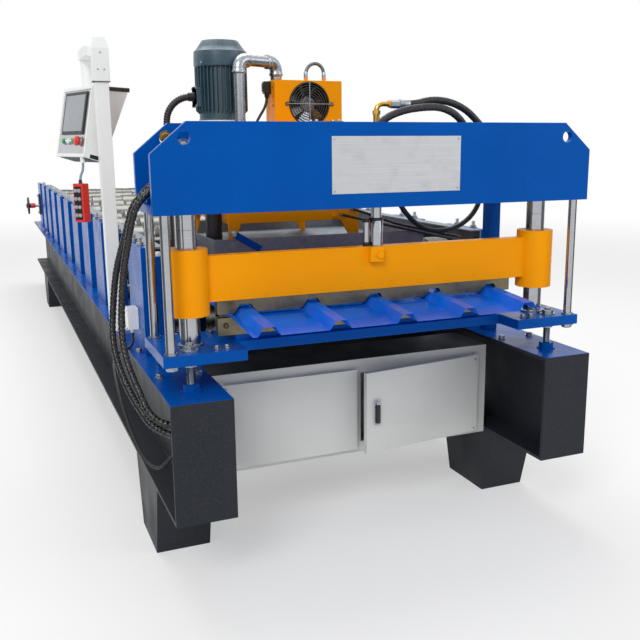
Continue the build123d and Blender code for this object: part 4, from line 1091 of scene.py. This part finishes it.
def dress_cooler():
    """The air blast cooler: recess, fan, wire guard with its ears, side screws and fittings."""
    x, z = FAN
    front = COOLER_FRONT

    def recess_is_black(centre, normal):
        return 1 if front + 1 < centre.y < front + 46 and math.hypot(centre.x - x, centre.z - z) < 76 else 0

    dressed("oil_cooler", "yellow enamel, black nylon", edge=1.6, choose=recess_is_black)
    hub = solid((0, 27), (20, 27), (24, 24), (25, 16), (22, 14))
    keep_piece("fan_hub", "grey plastic", (add_turned, (x, front + 40, z), FRONT, hub))

    def add_blade(bm, angle):
        blade = add_block(bm, (26, 70), both(1), both(15))
        wide = [v for v in blade if v.co.x > 40]
        bmesh.ops.scale(bm, vec=(1, 1, 1.5), verts=wide)
        turn = Matrix.Rotation(angle, 4, "Y") @ Matrix.Rotation(math.radians(32), 4, "X")
        move(bm, blade, Matrix.Translation((x, front + 29, z)) @ turn)

    keep_piece("fan_blades", "zinc plate", *[(add_blade, angle) for angle in turns(7)], edge=0.5)
    y = front - 4.2
    keep_piece(
        "fan_guard_wires", "oiled chain, zinc plate",
        *[(add_ring, (x, front - 2.2, z), BACK, 13 + 9 * i, 1.7, 44) for i in range(8)],
        (add_bar, (x, y, z - 77), (x, y, z + 77), 2, 8, 1),
        (add_bar, (x - 84, y, z), (x + 84, y, z), 2, 8, 1),
        *[(add_ring, (ear, y + 1, z), BACK, 5.5, 2, 16) for ear in both(88, x)],
        node="cooler_guard",
    )
    rim = ((0, 74.5), (-2.5, 75), (-2.5, 79), (0, 80))
    keep_piece("fan_rim", "black nylon", (add_turned, (x, front, z), BACK, rim, 56))
    screws = each(add_screw, grid(both(88, x), [front - 0.2], [z]), FRONT, 4, 7)
    for wall, out in ((-94, LEFT), (170, RIGHT)):
        screws += each(add_screw, grid([wall], [862], (1335, 1405, 1470)), out, 4, 3)
    keep_piece("cooler_screws", "zinc plate", *screws)
    dressed("cooler_plug", "black nylon", edge=2.0)
    gland = solid((0, 9), (9, 9), (12, 7.2), (16, 6.6))
    keep_piece("plug_gland", "black nylon", (add_turned, COOLER_CABLE[0], DOWN, gland, 12),
               (add_block, (-124, -120.3), (883, 902), (1455, 1484)), edge=0.6)


HINGE = (464, 335)
DOOR_AJAR = math.radians(7)
DOOR_FACE = 317
BOX_TURN = math.radians(15)
BOX_PLACE = (-696, 1087)
BOX_WIDTH = 283
PANEL_HEIGHT = 258
POST = (-676, 1035)
HEAD = "control_head"


def dress_cabinet():
    """The sheet steel cabinet under the shear, with its two doors and the lock."""
    # The cabinet's top face takes the dark coat as painted shade, for the shade that the sheet and blade
    # support cast on it
    def top_in_painted_shade(centre, normal):
        return 1 if normal.z > 0.9 and centre.z > 556 else 0

    fold = millimetres("fold")
    dressed("cabinet_body", "cabinet powder coat, dark powder coat", edge=fold * 0.5, choose=top_in_painted_shade)
    for door in ("left_door", "right_door"):
        dressed(door, "cabinet powder coat", door, edge=fold * 0.7)
    pin = Matrix.Translation((*HINGE, 0))
    ajar = pin @ Matrix.Rotation(DOOR_AJAR, 4, "Z") @ pin.inverted()
    keyhole = ((0, 7), (4, 7), (5, 6), (5, 2.4), (3, 2.4), (3, 0))
    keep_piece(
        "door_lock", "black nylon, zinc plate",
        (add_block, (28, 52), (DOOR_FACE - 2, DOOR_FACE), (350, 435), 1),
        (add_block, (33, 47), (DOOR_FACE - 9, DOOR_FACE - 2), (356, 418)),
        (add_turned, (40, DOOR_FACE - 2, 425), FRONT, keyhole, 20, 1),
        body="right_door", edge=1.2, place=ajar,
    )
    rivet = ((0, 3.6), (1.2, 3.2), (1.8, 1.8), (2, 0))
    for side, x, place in (("left", -452, Matrix.Identity(4)), ("right", 452, ajar)):
        rivets = each(add_turned, grid([x], [DOOR_FACE], (262, 518)), FRONT, rivet, 10)
        keep_piece(f"door_rivets_{side}", "zinc plate", *rivets, body=f"{side}_door", place=place)


def add_strip(bm, start, end, share, y):
    """A strip along part of a sloping edge of the box."""
    stop = start.lerp(end, share)
    middle = (start + stop) / 2 + Vector((0, 0, -9 if start.z > 1300 else 9))
    angle = math.atan2(stop.z - start.z, start.x - stop.x)
    strip = add_block(bm, both((stop - start).length / 2), (y, y + 2), both(7))
    move(bm, strip, Matrix.Translation(middle) @ Matrix.Rotation(angle, 4, "Y"))


def dress_control_box():
    """The operator's box: frame, recessed panel, screen, push buttons and stop button."""
    dressed("control_box", "post powder coat", HEAD, edge=3.0)
    box = Matrix.Translation((*BOX_PLACE, 0)) @ Matrix.Rotation(BOX_TURN, 4, "Z")
    # On the sloping panel x runs into the box, y across the panel and z up it
    lean = math.atan2(51, 253)
    panel = box @ Matrix.Translation((-51, 0, 1225)) @ Matrix.Rotation(lean, 4, "Y")
    rim = 12
    wide, high = (0, BOX_WIDTH), (rim, PANEL_HEIGHT - rim)
    strips = (
        (wide, (0, rim)), (wide, (PANEL_HEIGHT - rim, PANEL_HEIGHT)),
        ((0, rim), high), ((BOX_WIDTH - rim, BOX_WIDTH), high),
    )
    keep_piece("panel_rim", "post powder coat", *[(add_block, (-3.5, 0), y, z) for y, z in strips],
               body=HEAD, edge=1.0, place=panel)
    plate = (add_block, (-1.2, -0.1), (12.5, BOX_WIDTH - 12.5), (12.5, PANEL_HEIGHT - 12.5))
    keep_piece("panel_plate", "brushed aluminium", plate, body=HEAD, place=panel)
    keep_piece("touch_screen", "black nylon, screen glass", (add_block, (-6, -1), (36, 246), (82, 238)),
               (add_block, (-6.6, -6), (47, 235), (94, 227), 1), body=HEAD, edge=0.8, node="control_screen",
               place=panel)
    collar, key = ((0, 13), (3, 13), (5, 11.5), (5, 0)), ((0, 9.6), (5.5, 9.6), (7, 8), (7, 0))
    socket = ((0, 15), (4, 15), (4, 9), (11, 9), (11, 0))
    mushroom = ((0, 9), (0, 17), (3, 18), (7, 18), (10.5, 15), (12.5, 9), (13, 0))
    face, row = -1.2, 57
    buttons = []
    for y, slot in ((207, 1), (160, 2), (113, 1)):
        buttons.append((add_turned, (face, y, row), LEFT, collar, 28))
        buttons.append((add_turned, (-6, y, row), LEFT, key, 28, slot))
    keep_piece(
        "panel_buttons", "zinc plate, green plastic, white plastic, red plastic", *buttons,
        (add_turned, (face, 65, row), LEFT, socket, 28), (add_turned, (-8, 65, row), LEFT, mushroom, 32, 3),
        body=HEAD, node="control_buttons", place=panel,
    )
    # Black end strips along the side plates' upper and lower edges, and the hatch below
    front, back = Vector((-51, 0, 1225)), Vector((19, 0, 1204))
    edges = ((Vector((137, 0, 1473)), Vector((0, 0, 1478)), 0.62), (back, front, 0.72))
    strips = [(add_strip, *edge, y) for edge in edges for y in (-1.4, BOX_WIDTH - 0.6)]
    keep_piece("box_end_strips", "black nylon", *strips, body=HEAD, edge=0.6, place=box)
    under = Matrix.Translation(front.lerp(back, 0.5)) @ Matrix.Rotation(math.atan2(21, 70), 4, "Y")
    hatch = (add_block, both(30), (20, BOX_WIDTH - 20), (-2.2, -0.1))
    keep_piece("box_hatch", "dark powder coat", hatch, body=HEAD, edge=0.8, place=box @ under)


def dress_post():
    """The square post with its cap seam, screws and foot nuts, and the limit switch with its screws."""
    x, y = POST
    dressed("control_post", "post powder coat", edge=2.5)
    cap = [(at, y - 28.5, z) for at, z in ((-677, 1584), (-666, 1527), (-688, 1527))]
    feet = each(add_nut, grid([-625], (990, 1034), [BEAM_TOP + 10]), UP, 8, 9)
    keep_piece("post_screws", "zinc plate", *each(add_screw, cap, FRONT, 3.2, 2), *feet)
    seams = [(add_block, (x + at, x + at + 0.2), both(28, y), (1488, 1489.6)) for at in (-28.8, 28.6)]
    keep_piece("cap_seam", "dark powder coat", *seams, (add_block, both(29, x), both(29, y), (1485, 1487.2)))
    dressed("limit_switch", "white plastic", edge=2.5)
    lid = grid([-688.3], (679, 721), (665, 725))
    keep_piece("switch_screws", "zinc plate", *each(add_screw, lid, LEFT, 3, 2))


def dress_pendant():
    """The pushbutton pendant under the box."""
    keep_piece("pendant_body", "red plastic", body=HEAD, edge=2.0, node="pendant", bm=packed_copy("pendant"))
    cap = ((0, 7.2), (2.2, 7.2), (2.2, 5.6), (4.4, 5.4), (4.6, 0))
    places = [(x, -19.6, 45 - 30 * row) for row in range(4) for x in (-8, 8)]
    panel = (add_block, both(17), (-19.8, -18.8), (-62, 60), 1)
    place = Matrix.Translation((-762, 1117, 1058.5)) @ Matrix.Rotation(math.radians(-48), 4, "Z")
    keep_piece("pendant_keys", "grey plastic, black nylon", panel, *each(add_turned, places, FRONT, cap, 20),
               body=HEAD, edge=0.4, place=place)
    sleeve = ((-4, 0), (-4, 8), (0, 8), (4, 6.6), (14, 5.4), (14, 4.5))
    keep_piece("pendant_sleeve", "black nylon", (add_turned, PENDANT_CABLE[-1], UP, sleeve, 20), body=HEAD)


def dress_entry():
    """Handwheel, guide screw and strip guides at the entry end."""
    y, z = 5505, 758
    rim = [(7 * math.cos(math.tau * i / 12), 66 + 6 * math.sin(math.tau * i / 12)) for i in range(13)]
    wheel, outer = Vector((-746, y, z)), Vector((-744, y, z))
    ways = [Vector((0, math.sin(angle), math.cos(angle))) for angle in turns(3)]
    spokes = [(add_bar, wheel + way * 15, outer + way * 63, 6.5, 14, 0, 5) for way in ways]
    hub = ((-17, 12.1), (-17, 18), (-14, 19), (14, 19), (17, 17), (17, 12.1), (-17, 12.1))
    keep_piece(
        "handwheel_rim", "black nylon", (add_turned, wheel, LEFT, rim, 48), *spokes,
        (add_turned, wheel, LEFT, hub), body="handwheel", node="handwheel",
    )
    collar = ((0, 12.1), (0, 21), (4, 22), (34, 20), (38, 16), (38, 12.1))
    keep_piece("handwheel_collar", "red plastic", (add_turned, (-728.6, y, z), RIGHT, collar, 24),
               body="handwheel")
    plate = (add_block, (-662, -650.1), both(60, y), (z - 75, z + 95))
    nuts = each(add_nut, grid([-662], both(45, y), (z - 60, z + 80)), LEFT, 7, 8, 1)
    keep_piece("entry_plate", "black nylon, zinc plate", plate, *nuts, edge=1.5)
    dressed("entry_guide", "zinc plate", edge=1.0)
    cap = solid((0, 9), (4, 8), (5, 4))
    keep_piece("handwheel_cap", "zinc plate", (add_turned, (-763, y, z), LEFT, cap, 20), body="handwheel")


CARD_HEIGHT = 2000


def seen_by_eye(tree):
    """1 on rays from the camera, reflections and glass, and 0 on the rays that light the machine."""
    path = add_node(tree, "ShaderNodeLightPath").outputs
    seen = path["Is Camera Ray"]
    for ray in ("Is Glossy Ray", "Is Transmission Ray"):
        seen = add_node(tree, "ShaderNodeMath", {0: seen, 1: path[ray]}, operation="MAXIMUM").outputs[0]
    return seen


def stage_piece(name, made, material):
    """Something of the studio, which the part itself leaves out."""
    mesh = bpy.data.meshes.new(name)
    made.to_mesh(mesh)
    made.free()
    mesh.materials.append(material)
    piece = bpy.data.objects.new(name, mesh)
    bpy.context.scene.collection.objects.link(piece)
    return piece


def add_dark_cards():
    """Dark cards beside the camera, met by reflections only, which draw the edges of round bright bars."""
    material, tree = new_material("dark card")
    matt = add_node(tree, "ShaderNodeBsdfDiffuse", {"Color": hex_colour("#82868B")})
    add_node(tree, "ShaderNodeOutputMaterial", {"Surface": matt.outputs[0]})
    for name, start, end in (
        ("left card", (-2400, -600), (-2400, 1600)),
        ("right card", (2500, -1700), (2500, 600)),
    ):
        made = bmesh.new()
        corners = [(*start, 0), (*end, 0), (*end, CARD_HEIGHT), (*start, CARD_HEIGHT)]
        made.faces.new([made.verts.new(TO_ROW @ Vector(corner)) for corner in corners])
        card = stage_piece(name, made, material)
        card.visible_camera = card.visible_diffuse = card.visible_shadow = card.visible_transmission = False


def add_floor():
    """A plain pale floor that runs out into the white of the studio, for the eye and in reflections."""
    material, tree = new_material("pale floor")
    place = add_node(tree, "ShaderNodeTexCoord").outputs["Object"]
    away = add_node(tree, "ShaderNodeVectorMath", {0: place}, operation="LENGTH").outputs["Value"]
    fade = add_node(
        tree, "ShaderNodeMapRange", {"Value": away, "From Min": 2.5, "From Max": 11.0, "To Min": 0.4},
        interpolation_type="SMOOTHSTEP",
    ).outputs[0]
    fade = add_node(tree, "ShaderNodeMath", {0: fade, 1: seen_by_eye(tree)}, operation="MULTIPLY").outputs[0]
    diffuse = add_node(tree, "ShaderNodeBsdfDiffuse", {"Color": hex_colour("#F2F2F2")})
    white = add_node(tree, "ShaderNodeEmission", {"Color": (1, 1, 1, 1), "Strength": 1.0})
    surface = add_node(tree, "ShaderNodeMixShader", {0: fade, 1: diffuse.outputs[0], 2: white.outputs[0]})
    add_node(tree, "ShaderNodeOutputMaterial", {"Surface": surface.outputs[0]})
    floor_mesh = bmesh.new()
    bmesh.ops.create_circle(floor_mesh, cap_ends=True, segments=96, radius=60)
    stage_piece("floor", floor_mesh, material)


def add_sky():
    """The white of the studio, which lights the machine at half its strength."""
    world = bpy.data.worlds.new("studio")
    world.use_nodes = True
    tree = world.node_tree
    tree.nodes.clear()
    strength = add_node(tree, "ShaderNodeMapRange", {"Value": seen_by_eye(tree), "To Min": 0.5})
    sky = add_node(tree, "ShaderNodeBackground", {"Color": (1, 1, 1, 1), "Strength": strength.outputs[0]})
    add_node(tree, "ShaderNodeOutputWorld", {"Surface": sky.outputs[0]})
    bpy.context.scene.world = world


def add_lamps():
    """Three large soft lamps, with places in metres and powers in watts."""
    for name, place, target, size, power in (
        ("key light", Vector((-4.2, -7.5, 5.5)), Vector((0, -2.2, 0.8)), 3.0, 236),
        ("fill light", Vector((5.5, -6.0, 3.2)), Vector((0, -2.0, 0.7)), 3.5, 80),
        ("top light", Vector((0, 0.5, 6.0)), Vector((0, 0, 0)), 5.0, 240),
    ):
        lamp = bpy.data.lights.new(name, "AREA")
        lamp.size = size
        lamp.energy = power
        lamp_object = bpy.data.objects.new(name, lamp)
        turn = (target - place).to_track_quat("-Z", "Y").to_matrix().to_4x4()
        lamp_object.matrix_world = Matrix.Translation(place) @ turn
        bpy.context.scene.collection.objects.link(lamp_object)


# The camera solved from the photograph: millimetres, and degrees of yaw, pitch and roll
CAMERA_PLACE = (-1096.0, -2102.2, 1271.4)
CAMERA_TURNS = (23.29, -12.2, -0.33)
CAMERA_LENS = 46.5
CAMERA_SHIFT = (-0.0363, 0.0019)


def add_camera():
    """The camera at the photograph's place."""
    scene = bpy.context.scene
    yaw, pitch, roll = (math.radians(v) for v in CAMERA_TURNS)
    forward = Vector((math.sin(yaw) * math.cos(pitch), math.cos(yaw) * math.cos(pitch), math.sin(pitch)))
    right = Vector((math.cos(yaw), -math.sin(yaw), 0))
    up = right.cross(forward)
    level = right * math.cos(roll) + up * math.sin(roll)
    upright = up * math.cos(roll) - right * math.sin(roll)
    turn = Matrix((level, upright, -forward)).transposed().to_4x4()
    camera = bpy.data.cameras.new("camera")
    camera.sensor_width = 36
    camera.lens = CAMERA_LENS
    camera.shift_x, camera.shift_y = CAMERA_SHIFT
    camera.clip_end = 200
    camera_object = bpy.data.objects.new("camera", camera)
    camera_object.matrix_world = Matrix.Translation(TO_ROW @ Vector(CAMERA_PLACE)) @ turn
    scene.collection.objects.link(camera_object)
    scene.camera = camera_object
    scene.view_settings.view_transform = "Standard"


def run(*parts):
    for part in parts:
        part()
    return {"FINISHED"}


class MACHINE_OT_finishes(bpy.types.Operator):
    """Makes the materials of every piece"""

    bl_idname = "machine.finishes"
    bl_label = "Finishes"

    def execute(self, context):
        return run(make_finishes)


class MACHINE_OT_stage(bpy.types.Operator):
    """Sets the floor, the light and the camera"""

    bl_idname = "machine.stage"
    bl_label = "Stage"

    def execute(self, context):
        return run(add_floor, add_dark_cards, add_sky, add_lamps, add_camera)


class MACHINE_OT_hoses(bpy.types.Operator):
    """Lays the hydraulic hoses of the press"""

    bl_idname = "machine.hoses"
    bl_label = "Hoses"

    def execute(self, context):
        return run(dress_hoses)


class MACHINE_OT_cables(bpy.types.Operator):
    """Lays the cables, the oil lines and the conduit"""

    bl_idname = "machine.cables"
    bl_label = "Cables and lines"

    def execute(self, context):
        return run(dress_cables)


class MACHINE_OT_base_frame(bpy.types.Operator):
    """Finishes the beams, legs and cross ties"""

    bl_idname = "machine.base_frame"
    bl_label = "Base frame"

    def execute(self, context):
        return run(dress_beams)


class MACHINE_OT_roll_stands(bpy.types.Operator):
    """Finishes the stands with their studs, bolts and rails"""

    bl_idname = "machine.roll_stands"
    bl_label = "Roll stands"

    def execute(self, context):
        return run(dress_stands)


class MACHINE_OT_rolls(bpy.types.Operator):
    """Turns the rolls and finishes the sheet that they form"""

    bl_idname = "machine.rolls"
    bl_label = "Rolls and sheet"

    def execute(self, context):
        return run(dress_rolls)


class MACHINE_OT_drive(bpy.types.Operator):
    """Builds the chain drive and its motor"""

    bl_idname = "machine.drive"
    bl_label = "Chain drive"

    def execute(self, context):
        return run(dress_drive)


class MACHINE_OT_crossbeam(bpy.types.Operator):
    """Finishes the crossbeam, its blank nameplate and the cylinder"""

    bl_idname = "machine.crossbeam"
    bl_label = "Crossbeam"

    def execute(self, context):
        return run(dress_crossbeam, dress_columns)


class MACHINE_OT_base_plates(bpy.types.Operator):
    """Finishes the base plates with their pillars, rods and levelling studs"""

    bl_idname = "machine.base_plates"
    bl_label = "Base plates and pillars"

    def execute(self, context):
        return run(dress_base_plates, dress_pillars)


class MACHINE_OT_shear_ram(bpy.types.Operator):
    """Finishes the moving blade holder and both blades"""

    bl_idname = "machine.shear_ram"
    bl_label = "Shear ram"

    def execute(self, context):
        return run(dress_ram)


class MACHINE_OT_oil_unit(bpy.types.Operator):
    """Builds the oil tank, pump motor, pipe and cooler"""

    bl_idname = "machine.oil_unit"
    bl_label = "Oil unit"

    def execute(self, context):
        return run(dress_tray, dress_tank, dress_motor, dress_pipe, dress_cooler)


class MACHINE_OT_cabinet(bpy.types.Operator):
    """Finishes the electrical cabinet and its doors"""

    bl_idname = "machine.cabinet"
    bl_label = "Cabinet"

    def execute(self, context):
        return run(dress_cabinet)


class MACHINE_OT_controls(bpy.types.Operator):
    """Builds the control post, the operator's box and the pendant"""

    bl_idname = "machine.controls"
    bl_label = "Controls"

    def execute(self, context):
        return run(dress_post, dress_control_box, dress_pendant)


class MACHINE_OT_entry(bpy.types.Operator):
    """Builds the handwheel and the strip guides at the entry"""

    bl_idname = "machine.entry"
    bl_label = "Entry guides"

    def execute(self, context):
        return run(dress_entry)


STEPS = (
    MACHINE_OT_finishes, MACHINE_OT_stage, MACHINE_OT_base_frame, MACHINE_OT_roll_stands, MACHINE_OT_rolls,
    MACHINE_OT_drive, MACHINE_OT_crossbeam, MACHINE_OT_base_plates, MACHINE_OT_shear_ram, MACHINE_OT_oil_unit,
    MACHINE_OT_cabinet, MACHINE_OT_controls, MACHINE_OT_entry, MACHINE_OT_hoses, MACHINE_OT_cables,
)


class MACHINE_PT_panel(bpy.types.Panel):
    """Lists the machine's steps, sizes and colours"""

    bl_idname = "MACHINE_PT_panel"
    bl_label = "Roll forming machine"
    bl_space_type = "VIEW_3D"
    bl_region_type = "UI"
    bl_category = "Machine"

    def draw(self, context):
        layout = self.layout
        for group in (context.scene.machine_sizes, context.scene.machine_colours):
            for name in group.__annotations__:
                layout.prop(group, name)
        for step in STEPS:
            layout.operator(step.bl_idname)


CLASSES = (MachineColours, MachineSizes, *STEPS, MACHINE_PT_panel)


def register():
    for made in CLASSES:
        bpy.utils.register_class(made)
    bpy.types.Scene.machine_colours = PointerProperty(type=MachineColours)
    bpy.types.Scene.machine_sizes = PointerProperty(type=MachineSizes)


def unregister():
    del bpy.types.Scene.machine_sizes
    del bpy.types.Scene.machine_colours
    for made in reversed(CLASSES):
        bpy.utils.unregister_class(made)


def main():
    register()
    for step in STEPS:
        getattr(bpy.ops.machine, step.bl_idname.split(".")[1])()


if __name__ == "__main__":
    main()
